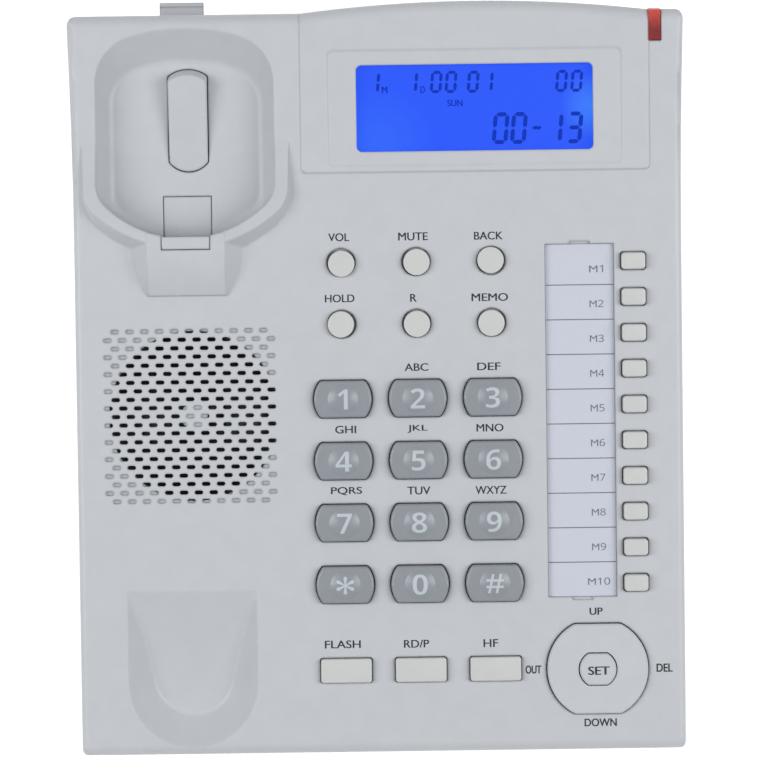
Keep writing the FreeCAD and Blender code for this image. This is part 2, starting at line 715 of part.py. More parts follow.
def hook_channel():
    """Solid material round the hook below the deck."""
    half = HOOK_WIDTH / 2 + WALL
    bottom = -EAR_DEPTH - HOOK_TONGUE_THICKNESS - WALL
    tongue_end = HOOK_PLATE_Y + HOOK_PLATE_THICKNESS + HOOK_TONGUE_LENGTH
    return box(CRADLE_X - half, CRADLE_X + half, HOOK_PLATE_Y - WALL, tongue_end + WALL, bottom, -EAR_DEPTH / 2)


def hook_plate_space(gap, z_top):
    """The room of the hook's plate, grown by gap."""
    half = HOOK_WIDTH / 2 + gap
    front = HOOK_PLATE_Y - gap
    rear = HOOK_PLATE_Y + HOOK_PLATE_THICKNESS + gap
    bottom = -EAR_DEPTH - HOOK_TONGUE_THICKNESS - gap
    return box(CRADLE_X - half, CRADLE_X + half, front, rear, bottom, z_top)


def hook_tongue_space(gap, z_top):
    half = HOOK_WIDTH / 2 + gap
    front = HOOK_PLATE_Y
    rear = HOOK_PLATE_Y + HOOK_PLATE_THICKNESS + HOOK_TONGUE_LENGTH + gap
    bottom = -EAR_DEPTH - HOOK_TONGUE_THICKNESS - gap
    return box(CRADLE_X - half, CRADLE_X + half, front, rear, bottom, z_top)


def lever_outline(gap, rear_gap, z):
    return bowed_outline(
        LEVER_X, LEVER_HALF_WIDTH + gap, LEVER_FRONT_Y - gap, LEVER_FRONT_BOW_R + gap,
        LEVER_REAR_Y + rear_gap, LEVER_REAR_BOW_R + gap, LEVER_CORNER_R, LEVER_CORNER_R, z,
    )


def lever_top_z(y):
    """Height of the lever's top, as it stands with the handset off."""
    front_z = -EAR_DEPTH + LEVER_FRONT_STEP
    return front_z + LEVER_RISE * (y - LEVER_FRONT_Y) / (LEVER_REAR_Y - LEVER_FRONT_Y)


def lever_sweep():
    """How far the lever's rear top edge comes out as the lever is pressed down."""
    reach = LEVER_REAR_Y - LEVER_PIVOT_Y
    rise = lever_top_z(LEVER_REAR_Y) - LEVER_PIVOT_Z
    press = math.radians(LEVER_TRAVEL)
    return reach * math.cos(press) + rise * math.sin(press) - reach


def lever_cheeks():
    """Two ears under the ear cup's floor that the lever's trunnions turn in."""
    cheeks = []
    inner = LEVER_HALF_WIDTH + CHEEK_GAP
    for side in (-1, 1):
        near = LEVER_X + side * inner
        far = LEVER_X + side * (inner + CHEEK_THICKNESS)
        cheek = box(
            min(near, far), max(near, far),
            LEVER_PIVOT_Y - 3.0, LEVER_PIVOT_Y + 3.0, LEVER_PIVOT_Z - 2.8, -EAR_DEPTH - WALL / 2,
        )
        cheeks.append(cheek)
    return cheeks


def trunnion(radius, length):
    half = LEVER_HALF_WIDTH + length
    return Part.makeCylinder(
        radius, 2 * half, Vector(LEVER_X - half, LEVER_PIVOT_Y, LEVER_PIVOT_Z), Vector(1, 0, 0)
    )


def mouth_floor_axis():
    """Centre (y, z) of the arc that the mouth cup's floor follows."""
    run = MOUTH_START_Y - MOUTH_END_Y
    chord = math.hypot(run, MOUTH_DEPTH)
    rise = math.sqrt(MOUTH_FLOOR_R**2 - (chord / 2) ** 2)
    middle_y = (MOUTH_START_Y + MOUTH_END_Y) / 2
    return middle_y - rise * MOUTH_DEPTH / chord, -MOUTH_DEPTH / 2 + rise * run / chord


def mouth_bowl(grow):
    """The mouth cup's hollow: a drafted round-ended trough above an arched floor."""
    above = 1.0
    below = -MOUTH_DEPTH - grow - 3.0
    top_r = MOUTH_R + grow + above * MOUTH_DRAFT
    low_r = MOUTH_R + grow + below * MOUTH_DRAFT
    round_end = Part.makeCone(low_r, top_r, above - below, Vector(CRADLE_X, MOUTH_CENTRE_Y, below))
    trough = prism_along_y(
        [
            (CRADLE_X - low_r, below),
            (CRADLE_X + low_r, below),
            (CRADLE_X + top_r, above),
            (CRADLE_X - top_r, above),
        ],
        MOUTH_CENTRE_Y,
        MOUTH_START_Y + 10 + grow,
    )
    axis_y, axis_z = mouth_floor_axis()
    roller = Part.makeCylinder(
        MOUTH_FLOOR_R + grow, 2 * OUTSIDE, Vector(CRADLE_X - OUTSIDE, axis_y, axis_z), Vector(1, 0, 0)
    )
    return round_end.fuse(trough).removeSplitter().common(roller)


def mouth_hollow():
    bowl = mouth_bowl(0)
    floor = [f for f in bowl.Faces if isinstance(f.Surface, Part.Cylinder) and abs(f.Surface.Radius - MOUTH_FLOOR_R) < 1e-3]
    edges = [e for e in floor[0].Edges if e.BoundBox.ZMax < 0.9 and e.BoundBox.ZMin < -1]
    return bowl.makeFillet(MOUTH_FLOOR_FILLET, edges)


def grille_slot(x, y):
    """One slot with cut corners, down from the deck."""
    half = SLOT_LENGTH / 2
    rise = SLOT_WIDTH / 2
    cut = SLOT_CORNER
    corners = [
        (-half + cut, -rise), (half - cut, -rise), (half, -rise + cut), (half, rise - cut),
        (half - cut, rise), (-half + cut, rise), (-half, rise - cut), (-half, -rise + cut),
    ]
    points = [Vector(x + dx, y + dy, -SLOT_DEPTH) for dx, dy in corners]
    return Part.Face(Part.makePolygon(points + points[:1])).extrude(Vector(0, 0, SLOT_DEPTH + 1))


def grille_slots():
    slots = []
    for row in range(GRILLE_ROWS):
        count = GRILLE_SHORT_ROW + row % 2
        y = GRILLE_Y + (row - (GRILLE_ROWS - 1) / 2) * GRILLE_ROW_PITCH
        for place in range(count):
            x = GRILLE_X + (place - (count - 1) / 2) * GRILLE_SLOT_PITCH
            slots.append(grille_slot(x, y))
    return slots


def speaker_well():
    """The round recess under the grille that opens the slots, less the post in its middle."""
    well = column(SPEAKER_X, SPEAKER_Y, SPEAKER_OPENING_R, -WALL - 1, -SLOT_DEPTH)
    return well.cut(column(SPEAKER_X, SPEAKER_Y, GRILLE_POST_R, -WALL - 2, 0))


def speaker_ring():
    inner = SPEAKER_R + SPEAKER_RING_GAP
    ring = column(SPEAKER_X, SPEAKER_Y, inner + SPEAKER_RING_WALL, -WALL - SPEAKER_RIM, -WALL / 2)
    return ring.cut(column(SPEAKER_X, SPEAKER_Y, inner, -WALL - SPEAKER_RIM - 1, -WALL))


def number_outline(x, y):
    def outline(grow, z0, z1):
        return flattened_disc(x, y, NUMBER_R + grow, NUMBER_HALF_HEIGHT + grow, NUMBER_CORNER_R, z0, z1)
    return outline


def round_outline(x, y):
    def outline(grow, z0, z1):
        return column(x, y, ROUND_R + grow, z0, z1)
    return outline


def oblong_outline(x, y, length, depth, corner):
    def outline(grow, z0, z1):
        half_l = length / 2 + grow
        half_d = depth / 2 + grow
        return rounded_box(x - half_l, x + half_l, y - half_d, y + half_d, z0, z1, corner)
    return outline


def key_column(index):
    return KEY_COLUMN_X + index * KEY_COLUMN_PITCH


def key_table():
    """Every sliding key: name, centre, outline, height over the deck, flange lip and top chamfer."""
    keys = []
    for row, names in enumerate(NUMBER_KEYS):
        y = NUMBER_TOP_Y - row * NUMBER_ROW_PITCH
        for column_index, name in enumerate(names):
            x = key_column(column_index)
            keys.append((name, x, y, number_outline(x, y), NUMBER_HEIGHT, FLANGE_LIP, NUMBER_CHAMFER))
    for row, names in enumerate(ROUND_BUTTONS):
        y = ROUND_TOP_Y - row * ROUND_ROW_PITCH
        for column_index, name in enumerate(names):
            x = key_column(column_index)
            keys.append((name, x, y, round_outline(x, y), ROUND_HEIGHT, FLANGE_LIP, SMALL_CHAMFER))
    for column_index, name in enumerate(FUNCTION_KEYS):
        x = key_column(column_index)
        outline = oblong_outline(x, FUNCTION_Y, FUNCTION_LENGTH, FUNCTION_DEPTH, FUNCTION_CORNER_R)
        keys.append((name, x, FUNCTION_Y, outline, FUNCTION_HEIGHT, FLANGE_LIP, SMALL_CHAMFER))
    for index in range(MEMORY_KEY_COUNT):
        y = MEMORY_TOP_Y - index * MEMORY_PITCH
        outline = oblong_outline(MEMORY_X, y, MEMORY_LENGTH, MEMORY_DEPTH, MEMORY_CORNER_R)
        name = f"memory_key_{index + 1}"
        keys.append((name, MEMORY_X, y, outline, MEMORY_HEIGHT, MEMORY_FLANGE_LIP, SMALL_CHAMFER))
    return keys


def push_key(x, y, outline, height, flange_lip, chamfer):
    """A key cap with its flange under the deck and the stem that presses the membrane."""
    cap = outline(0, FLANGE_TOP_Z, height)
    cap = cap.makeChamfer(chamfer, level_edges(cap, height))
    flange = outline(KEY_GAP + flange_lip, FLANGE_TOP_Z - FLANGE_THICKNESS, FLANGE_TOP_Z)
    stem = box(
        x - STEM_HALF, x + STEM_HALF, y - STEM_HALF, y + STEM_HALF,
        STEM_END_Z, FLANGE_TOP_Z - FLANGE_THICKNESS,
    )
    return cap.fuse([flange, stem]).removeSplitter()


def key_dome(x, y):
    """The shallow round dome in the middle of a number key."""
    sphere_r = (DOME_R**2 + DOME_HEIGHT**2) / (2 * DOME_HEIGHT)
    centre = Vector(x, y, NUMBER_HEIGHT + DOME_HEIGHT - sphere_r)
    return Part.makeSphere(sphere_r, centre).common(column(x, y, DOME_R, NUMBER_HEIGHT - 0.3, OUTSIDE))


def nav_outline(grow, z0, z1):
    return flattened_disc(NAV_X, NAV_Y, NAV_R + grow, NAV_HALF_HEIGHT + grow, NAV_CORNER_R, z0, z1)


def set_outline(grow, z0, z1):
    return flattened_disc(NAV_X, NAV_Y, SET_R + grow, SET_HALF_HEIGHT + grow, SET_CORNER_R, z0, z1)


def nav_flange_top():
    """Low enough under the deck for the flange to tilt both ways at once."""
    reach = NAV_R + KEY_GAP + NAV_FLANGE_LIP
    return -WALL - reach * math.sin(math.radians(NAV_TILT * NAV_TILT_BOTH_WAYS))


def nav_pocket_z():
    """Underside of the ring where it rests on its pivot, just below the line it tilts about."""
    return NAV_PIVOT_Z - NAV_POCKET_RISE


def navigation_ring():
    """The four-way ring: its flange hangs low enough under the deck for the ring to tilt."""
    flange_top = nav_flange_top()
    cap = nav_outline(0, flange_top, NAV_HEIGHT)
    cap = cap.makeChamfer(SMALL_CHAMFER, level_edges(cap, NAV_HEIGHT))
    flange = nav_outline(KEY_GAP + NAV_FLANGE_LIP, flange_top - FLANGE_THICKNESS, flange_top)
    ring = cap.fuse(flange).removeSplitter()
    ring = ring.cut(set_outline(KEY_GAP, -OUTSIDE, OUTSIDE))
    return ring.cut(column(NAV_X, NAV_Y, NAV_POCKET_R, -OUTSIDE, nav_pocket_z()))


def navigation_pivot():
    """Rubber collar round the SET stem that the ring rocks on."""
    bottom = BOARD_TOP_Z + PIVOT_GAP
    top = nav_pocket_z() - PIVOT_GAP
    collar = column(NAV_X, NAV_Y, PIVOT_R, bottom, top)
    ridge = Part.makeCylinder(
        PIVOT_GAP - FLANGE_GAP, 2 * PIVOT_R - 0.6, Vector(NAV_X, NAV_Y - PIVOT_R + 0.3, top), Vector(0, 1, 0)
    )
    return collar.fuse(ridge).cut(column(NAV_X, NAV_Y, PIVOT_BORE_R, bottom - 1, OUTSIDE))


def set_button():
    """SET button: a cap that stands in the ring, on a stem down through the pivot."""
    shoulder_z = -1.5
    cap = set_outline(0, shoulder_z, SET_HEIGHT)
    cap = cap.makeChamfer(SMALL_CHAMFER, level_edges(cap, SET_HEIGHT))
    return cap.fuse(column(NAV_X, NAV_Y, SET_STEM_R, STEM_END_Z, shoulder_z)).removeSplitter()


def bezel_bow_r():
    half = (BEZEL_RIGHT_X - BEZEL_LEFT_X) / 2
    return (half**2 + BEZEL_BOW**2) / (2 * BEZEL_BOW)


def bowed_rear(inset, z0, z1):
    """A large disc whose rim is the bezel's bowed rear edge, moved in by inset."""
    centre_x = (BEZEL_LEFT_X + BEZEL_RIGHT_X) / 2
    centre_y = CASE_LENGTH / 2 + BEZEL_BOW - bezel_bow_r()
    return column(centre_x, centre_y, bezel_bow_r() - inset, z0, z1)


def display_bezel():
    """Panel round the display: flush with the deck, bowed out and turned down at the rear."""
    blank = box(BEZEL_LEFT_X, BEZEL_RIGHT_X, BEZEL_FRONT_Y, CASE_LENGTH, BEZEL_SKIRT_Z, 0)
    body = blank.common(bowed_rear(0, BEZEL_SKIRT_Z - 1, 1))
    front_corners = [e for e in upright_edges(body) if e.BoundBox.YMax < BEZEL_FRONT_Y + 1]
    body = body.makeFillet(BEZEL_CORNER_R, front_corners)
    rear_edge = [e for e in level_edges(body, 0) if e.BoundBox.YMin > CASE_LENGTH / 2 - 1e-3]
    body = body.makeFillet(REAR_EDGE_R, rear_edge)
    under = box(BEZEL_LEFT_X - 1, BEZEL_RIGHT_X + 1, BEZEL_FRONT_Y - 1, CASE_LENGTH, BEZEL_SKIRT_Z - 1, -BEZEL_THICKNESS)
    body = body.cut(under.common(bowed_rear(BEZEL_THICKNESS, BEZEL_SKIRT_Z - 2, 1)))

    return body.cut([display_recess(), window_blank(0, -OUTSIDE, 1)])


def display_recess():
    """Shallow recess round the window that deepens towards the rear."""
    recess = rounded_box(
        RECESS_LEFT_X, RECESS_RIGHT_X, RECESS_FRONT_Y, RECESS_REAR_Y, -RECESS_FRONT_DEPTH, 2, RECESS_CORNER_R
    )
    recess = recess.makeChamfer(RECESS_SLOPE, level_edges(recess, -RECESS_FRONT_DEPTH))
    turn = math.degrees(math.atan((RECESS_DEPTH - RECESS_FRONT_DEPTH) / (RECESS_REAR_Y - RECESS_FRONT_Y)))
    return recess.rotated(Vector(0, RECESS_FRONT_Y, 0), Vector(1, 0, 0), -turn)


def window_blank(grow, z0, z1):
    half_w = WINDOW_WIDTH / 2 + grow
    half_h = WINDOW_HEIGHT / 2 + grow
    return rounded_box(
        WINDOW_X - half_w, WINDOW_X + half_w, WINDOW_Y - half_h, WINDOW_Y + half_h, z0, z1, WINDOW_CORNER_R
    )


def display_window():
    """Clear window: a raised pane in the bezel's opening on a wider flange behind it."""
    top = -RECESS_DEPTH - WINDOW_SINK
    pane = window_blank(-WINDOW_GAP, -BEZEL_THICKNESS - WINDOW_GAP, top)
    flange_top = -BEZEL_THICKNESS - WINDOW_GAP
    flange = window_blank(WINDOW_FLANGE, flange_top - WINDOW_FLANGE_THICKNESS, flange_top)
    return pane.fuse(flange).removeSplitter()


def lcd_top_z():
    return -BEZEL_THICKNESS - 2 * WINDOW_GAP - WINDOW_FLANGE_THICKNESS


def lcd_module():
    """Display cell in its frame: the glass is proud of the frame by a small step."""
    top = lcd_top_z()
    half_w = LCD_WIDTH / 2
    half_h = LCD_HEIGHT / 2
    step = 0.4
    border = 2.0
    frame = box(WINDOW_X - half_w, WINDOW_X + half_w, WINDOW_Y - half_h, WINDOW_Y + half_h, top - LCD_THICKNESS, top - step)
    glass = box(
        WINDOW_X - half_w + border, WINDOW_X + half_w - border,
        WINDOW_Y - half_h + border, WINDOW_Y + half_h - border, top - step, top,
    )
    return frame.fuse(glass)


def lens_x():
    """Left and right sides of the indicator lens."""
    left = BEZEL_RIGHT_X + SEAM_GAP
    return left, left + LENS_WIDTH


def display_board():
    """Board under the display, with the stand-offs it hangs by and the indicator LED on it."""
    board = box(
        DISPLAY_BOARD_LEFT_X, DISPLAY_BOARD_RIGHT_X, DISPLAY_BOARD_FRONT_Y, DISPLAY_BOARD_REAR_Y,
        DISPLAY_BOARD_Z - BOARD_THICKNESS, DISPLAY_BOARD_Z,
    )
    for x, y in SCREW_PLACES:
        board = board.cut(column(x, y, BOSS_R + POST_HOLE_GAP, -OUTSIDE, 0))
    left, right = lens_x()
    led = column((left + right) / 2, LED_Y, LED_R, DISPLAY_BOARD_Z, LED_TOP_Z - LED_R)
    dome = Part.makeSphere(LED_R, Vector((left + right) / 2, LED_Y, LED_TOP_Z - LED_R))
    lcd_bottom = lcd_top_z() - LCD_THICKNESS
    carrier = box(
        WINDOW_X - LCD_WIDTH / 2 + 4, WINDOW_X + LCD_WIDTH / 2 - 4,
        WINDOW_Y - LCD_HEIGHT / 2 + 4, WINDOW_Y + LCD_HEIGHT / 2 - 4, DISPLAY_BOARD_Z, lcd_bottom,
    )
    return board.fuse([led.fuse(dome), carrier])


def lens_blank(gap, top):
    """The lens with its leg down the rear wall, grown by gap."""
    left, right = lens_x()
    half_length = CASE_LENGTH / 2
    plate = box(left - gap, right + gap, LENS_FRONT_Y - gap, half_length + top, -LENS_THICKNESS - gap, top)
    leg = box(left - gap, right + gap, half_length - WALL - gap, half_length + top, LENS_LEG_Z - gap, top)
    return plate.fuse(leg).removeSplitter()


def indicator_lens():
    lens = lens_blank(0, LENS_PROUD)
    rear_edge = [
        e for e in level_edges(lens, LENS_PROUD)
        if e.BoundBox.YLength < 1e-6 and e.BoundBox.YMin > CASE_LENGTH / 2
    ]
    return lens.makeFillet(REAR_EDGE_R - LENS_PROUD, rear_edge)


def lens_slot():
    return lens_blank(SEAM_GAP, 1.0)


def led_window():
    left, right = lens_x()
    return box(left, right, LED_Y - LED_R - 1, LED_Y + LED_R + 1, -OUTSIDE, 0)


def card_space(gap, z0, z1):
    half_w = CARD_WIDTH / 2 + gap
    half_l = CARD_LENGTH / 2 + gap
    return box(CARD_X - half_w, CARD_X + half_w, CARD_Y - half_l, CARD_Y + half_l, z0, z1)


def card_notches(grow, z0, z1):
    """Finger notches at both ends of the card window."""
    half = NOTCH_HALF_WIDTH + grow
    reach = CARD_LENGTH / 2 + NOTCH_DEPTH
    return box(CARD_X - half, CARD_X + half, CARD_Y - reach, CARD_Y + reach, z0, z1)


def index_card():
    return card_space(-COVER_GAP, -CARD_POCKET_DEPTH, -CARD_POCKET_DEPTH + CARD_THICKNESS)


def index_card_cover():
    bottom = -CARD_POCKET_DEPTH + CARD_THICKNESS
    cover = card_space(-COVER_GAP, bottom, bottom + COVER_THICKNESS)
    return cover.makeChamfer(0.2, level_edges(cover, bottom + COVER_THICKNESS))


def membrane():
    """Rubber sheet with a raised pad under every key."""
    sheet = box(MEMBRANE_LEFT_X, MEMBRANE_RIGHT_X, MEMBRANE_FRONT_Y, MEMBRANE_REAR_Y, BOARD_TOP_Z, MEMBRANE_TOP_Z)
    sheet = sheet.cut([column(x, y, POST_R + POST_HOLE_GAP, -OUTSIDE, 0) for x, y in POST_PLACES])
    sheet = sheet.cut([column(x, y, BOSS_R + POST_HOLE_GAP, -OUTSIDE, 0) for x, y in SCREW_PLACES])
    sheet = sheet.cut(column(NAV_X, NAV_Y, PIVOT_R + 2 * PIVOT_GAP, -OUTSIDE, 0))
    pads = [pad(x, y, STEM_END_Z) for name, x, y, outline, height, lip, chamfer in key_table()]
    nav_pad_top = nav_flange_top() - FLANGE_THICKNESS - PIVOT_GAP / 4
    reach = (NAV_POCKET_R + NAV_R) / 2
    for quarter in range(4):
        angle = math.radians(90 * quarter)
        pads.append(pad(NAV_X + reach * math.cos(angle), NAV_Y + reach * math.sin(angle), nav_pad_top))
    return sheet.fuse(pads)


def pad(x, y, top):
    """A tapering many-sided pad on the membrane."""
    rings = []
    for radius, z in ((DOME_PAD_BASE_R, MEMBRANE_TOP_Z), (DOME_PAD_TOP_R, top)):
        corners = []
        for side in range(DOME_PAD_SIDES + 1):
            angle = 2 * math.pi * (side + 0.5) / DOME_PAD_SIDES
            corners.append(Vector(x + radius * math.cos(angle), y + radius * math.sin(angle), z))
        rings.append(Part.makePolygon(corners))
    return Part.makeLoft(rings, True, True)


def main_board():
    board = box(
        MEMBRANE_LEFT_X - BOARD_MARGIN, MEMBRANE_RIGHT_X + BOARD_MARGIN,
        MEMBRANE_FRONT_Y - BOARD_MARGIN, BEZEL_FRONT_Y - 2 * TRAY_LEDGE,
        BOARD_TOP_Z - BOARD_THICKNESS, BOARD_TOP_Z,
    )
    return board.cut([column(x, y, BOSS_R + POST_HOLE_GAP, -OUTSIDE, 0) for x, y in SCREW_PLACES])


def bezel_tray():
    """Ledge under the bezel with an opening for the display."""
    outer = box(
        BEZEL_LEFT_X - TRAY_LEDGE, BEZEL_RIGHT_X + TRAY_LEDGE,
        BEZEL_FRONT_Y - TRAY_LEDGE, CASE_LENGTH / 2 - WALL / 2,
        -BEZEL_THICKNESS - SEAM_GAP - TRAY_THICKNESS, -WALL / 2,
    )
    opening = box(
        RECESS_LEFT_X - 1, RECESS_RIGHT_X + 1, BEZEL_FRONT_Y + TRAY_LEDGE, CASE_LENGTH / 2 - 2 * WALL, -OUTSIDE, 0
    )
    return outer.cut(opening)


def bezel_room():
    """Everything that the bezel takes out of the top housing."""
    left = BEZEL_LEFT_X - SEAM_GAP
    right = BEZEL_RIGHT_X + SEAM_GAP
    deck = box(left, right, BEZEL_FRONT_Y - SEAM_GAP, CASE_LENGTH, -BEZEL_THICKNESS - SEAM_GAP, 1)
    corners = [e for e in upright_edges(deck) if e.BoundBox.YMax < BEZEL_FRONT_Y + 1]
    deck = deck.makeFillet(BEZEL_CORNER_R + SEAM_GAP, corners)
    wall = box(left, right, CASE_LENGTH / 2 - WALL - 0.5, CASE_LENGTH, BEZEL_SKIRT_Z - SEAM_GAP, 1)
    return [deck, wall]


def screw_bosses():
    """Bosses of the top housing. The one under the ear cup starts at the cup's floor."""
    bosses = []
    for x, y in SCREW_PLACES:
        under_cup = abs(x - CRADLE_X) < EAR_HALF_WIDTH and y > EAR_FRONT_Y
        top = -EAR_DEPTH - WALL / 2 if under_cup else -WALL / 2
        bosses.append(column(x, y, BOSS_R, BOSS_MEET_Z, top))
    return bosses


def screw_tip_z():
    return screw_head_z() + SCREW_LENGTH


def screw_head_z():
    """The plane that the screw heads pull on, inside the base's bosses."""
    return CASE_BOTTOM_Z + SCREW_HEAD_DEPTH + SCREW_HEAD_HEIGHT


def top_housing():
    shell = case_solid().common(box(-CASE_WIDTH, CASE_WIDTH, -CASE_LENGTH, CASE_LENGTH, -TOP_HEIGHT, 1))
    shell = shell.cut(case_prism(WALL, -TOP_HEIGHT - 1, -WALL))
    below_deck = box(-CASE_WIDTH, CASE_WIDTH, -CASE_LENGTH, CASE_LENGTH, -TOP_HEIGHT, -WALL / 2)
    posts = [column(x, y, POST_R, BOARD_TOP_Z, -WALL / 2) for x, y in POST_PLACES]
    card_floor = card_space(CARD_FLOOR_MARGIN, -WALL - CARD_FLOOR_THICKNESS, -WALL / 2)
    shell = shell.fuse(
        [
            ear_bowl(WALL).common(below_deck),
            mouth_bowl(WALL).common(below_deck),
            raised_lip(),
            hook_block(),
            hook_channel(),
            speaker_ring(),
            card_floor,
            bezel_tray(),
        ]
        + lever_cheeks()
        + screw_bosses()
        + posts
    )

    hook_top = LIP_HEIGHT + OUTSIDE
    cup_wall = HOOK_PLATE_THICKNESS / 2
    hook_notch = box(
        CRADLE_X - HOOK_WIDTH / 2 - HOOK_GAP, CRADLE_X + HOOK_WIDTH / 2 + HOOK_GAP,
        HOOK_PLATE_Y, HOOK_PLATE_Y + HOOK_PLATE_THICKNESS + cup_wall, -EAR_DEPTH, hook_top,
    )
    shell = shell.cut([ear_hollow(), mouth_hollow()])
    shell = shell.cut([hook_plate_space(HOOK_GAP, hook_top), hook_tongue_space(HOOK_GAP, -EAR_DEPTH + 1), hook_notch])
    lever_hole = solid_from(lever_outline(LEVER_GAP, lever_sweep() + LEVER_GAP, -OUTSIDE), OUTSIDE)
    shell = shell.cut([lever_hole, trunnion(TRUNNION_R + TRUNNION_FIT, OUTSIDE / 4)])

    holes = [outline(KEY_GAP, -WALL - 1, 1) for name, x, y, outline, height, lip, chamfer in key_table()]
    holes.append(nav_outline(KEY_GAP, -WALL - 1, 1))
    holes.append(card_space(0, -CARD_POCKET_DEPTH, 1))
    holes.append(card_notches(0, -CARD_POCKET_DEPTH / 2, 1))
    holes += bezel_room()
    holes += [lens_slot(), led_window()]
    holes += [column(x, y, SCREW_R + SCREW_GAP, -TOP_HEIGHT - OUTSIDE, screw_tip_z() + 1) for x, y in SCREW_PLACES]
    shell = shell.cut(holes)
    return shell.cut(grille_slots() + [speaker_well()])


def seam_lip():
    """Lip on the base that seats inside the top housing."""
    top = -TOP_HEIGHT + SEAM_LIP_HEIGHT
    bottom = -TOP_HEIGHT - SEAM_LIP_DEPTH
    inner_inset = WALL + SEAM_LIP_GAP + SEAM_LIP_THICKNESS
    ring = case_prism(WALL + SEAM_LIP_GAP, bottom, top)
    root = case_prism(WALL / 2, bottom, -TOP_HEIGHT)
    return ring.fuse(root).cut(case_prism(inner_inset, bottom - 1, top + 1))


def battery_well(grow, z0, z1):
    """Space of the cells and their contacts, seen from below, grown by grow."""
    half_x = CELL_LENGTH / 2 + CONTACT_SPACE + grow
    half_y = CELL_PITCH * (CELL_COUNT - 1) / 2 + CELL_R + CELL_GAP + grow
    return box(BATTERY_X - half_x, BATTERY_X + half_x, BATTERY_Y - half_y, BATTERY_Y + half_y, z0, z1)


def cell_centre_z():
    return CASE_BOTTOM_Z + DOOR_THICKNESS + CELL_GAP + CELL_R


def jack_z():
    """Bottom and top of both jack bodies."""
    bottom = BASE_FLOOR_Z + 0.1
    return bottom, bottom + JACK_HEIGHT


def lug_y():
    """Deck y of the stand's hinge line, at its front top edge."""
    table_y = STAND_FRONT_Y
    return (table_y + (CASE_BOTTOM_Z - STAND_GAP) * math.sin(SLOPE)) / math.cos(SLOPE)


def lug_slot_length():
    """Length of a lug's slot behind the hinge line: room for the lug as the stand swings."""
    swing = math.radians(STAND_SWING)
    return LUG_THICKNESS * math.cos(swing) + (LUG_HEIGHT + STAND_GAP) * math.sin(swing) + LUG_SLOT_GAP


def bottom_housing():
    shell = case_solid().common(box(-CASE_WIDTH, CASE_WIDTH, -CASE_LENGTH, CASE_LENGTH, CASE_BOTTOM_Z - 1, -TOP_HEIGHT))
    shell = shell.cut(case_prism(WALL, BASE_FLOOR_Z, 1))
    well_top = cell_centre_z() + CELL_R + CELL_GAP
    additions = [seam_lip(), battery_well(WELL_WALL, CASE_BOTTOM_Z + WALL / 2, well_top + WELL_WALL)]
    for x, y in SCREW_PLACES:
        additions.append(column(x, y, BASE_BOSS_R, CASE_BOTTOM_Z + 0.1, BOSS_MEET_Z - BOSS_GAP))
    shell = shell.fuse(additions)

    cuts = [
        battery_well(0, CASE_BOTTOM_Z - 1, well_top),
        battery_well(DOOR_LEDGE, CASE_BOTTOM_Z - 1, BASE_FLOOR_Z),
    ]
    cuts += door_tabs(DOOR_GAP, OUTSIDE / 10, DOOR_TAB_RISE)
    for x, y in SCREW_PLACES:
        cuts.append(column(x, y, SCREW_HEAD_R + HEAD_RECESS_GAP, CASE_BOTTOM_Z - 1, screw_head_z()))
        cuts.append(column(x, y, SCREW_R + SHANK_HOLE_GAP, CASE_BOTTOM_Z, 1))
    jack_bottom, jack_top = jack_z()
    half_line = LINE_JACK_WIDTH / 2 + JACK_GAP
    cuts.append(box(
        LINE_JACK_X - half_line, LINE_JACK_X + half_line,
        CASE_LENGTH / 2 - 2 * WALL, CASE_LENGTH, BASE_FLOOR_Z, 1,
    ))
    half_handset = HANDSET_JACK_WIDTH / 2 + JACK_GAP
    cuts.append(box(
        -CASE_WIDTH, -CASE_WIDTH / 2 + 2 * WALL,
        HANDSET_JACK_Y - half_handset, HANDSET_JACK_Y + half_handset, BASE_FLOOR_Z, 1,
    ))
    cuts.append(Part.makeCylinder(
        MIC_HOLE_R, 3 * WALL, Vector(MIC_X, -CASE_LENGTH / 2 - WALL, mic_z()), Vector(0, 1, 0)
    ))
    half_lug = LUG_WIDTH / 2 + LUG_SLOT_GAP
    for side in (-1, 1):
        x = side * LUG_X
        cuts.append(box(
            x - half_lug, x + half_lug, lug_y() - LUG_SLOT_GAP, lug_y() + lug_slot_length(),
            CASE_BOTTOM_Z - 1, BASE_FLOOR_Z + 1,
        ))
        cuts.append(column(
            side * FRONT_FOOT_X, FRONT_FOOT_Y, FOOT_R + FOOT_GAP, CASE_BOTTOM_Z - 1, CASE_BOTTOM_Z + FOOT_RECESS
        ))
    shell = shell.cut(cuts)
    return shell


def door_hinge():
    """Deck y and z of the line that the battery door swings on."""
    half_y = CELL_PITCH * (CELL_COUNT - 1) / 2 + CELL_R + CELL_GAP + DOOR_LEDGE
    return BATTERY_Y + half_y, BASE_FLOOR_Z + DOOR_HINGE_LIFT


def door_tabs(side_gap, root, rise):
    """The two tabs that hook over the base's floor, or with gaps the notches they need."""
    hinge_y, hinge_z = door_hinge()
    tabs = []
    for side in (-1, 1):
        x = BATTERY_X + side * DOOR_TAB_X
        half = DOOR_TAB_WIDTH / 2 + side_gap
        tabs.append(box(
            x - half, x + half, hinge_y - root, hinge_y + DOOR_TAB_REACH + side_gap,
            BASE_FLOOR_Z, hinge_z + DOOR_HINGE_LIFT + DOOR_TAB_THICKNESS + rise,
        ))
    return tabs


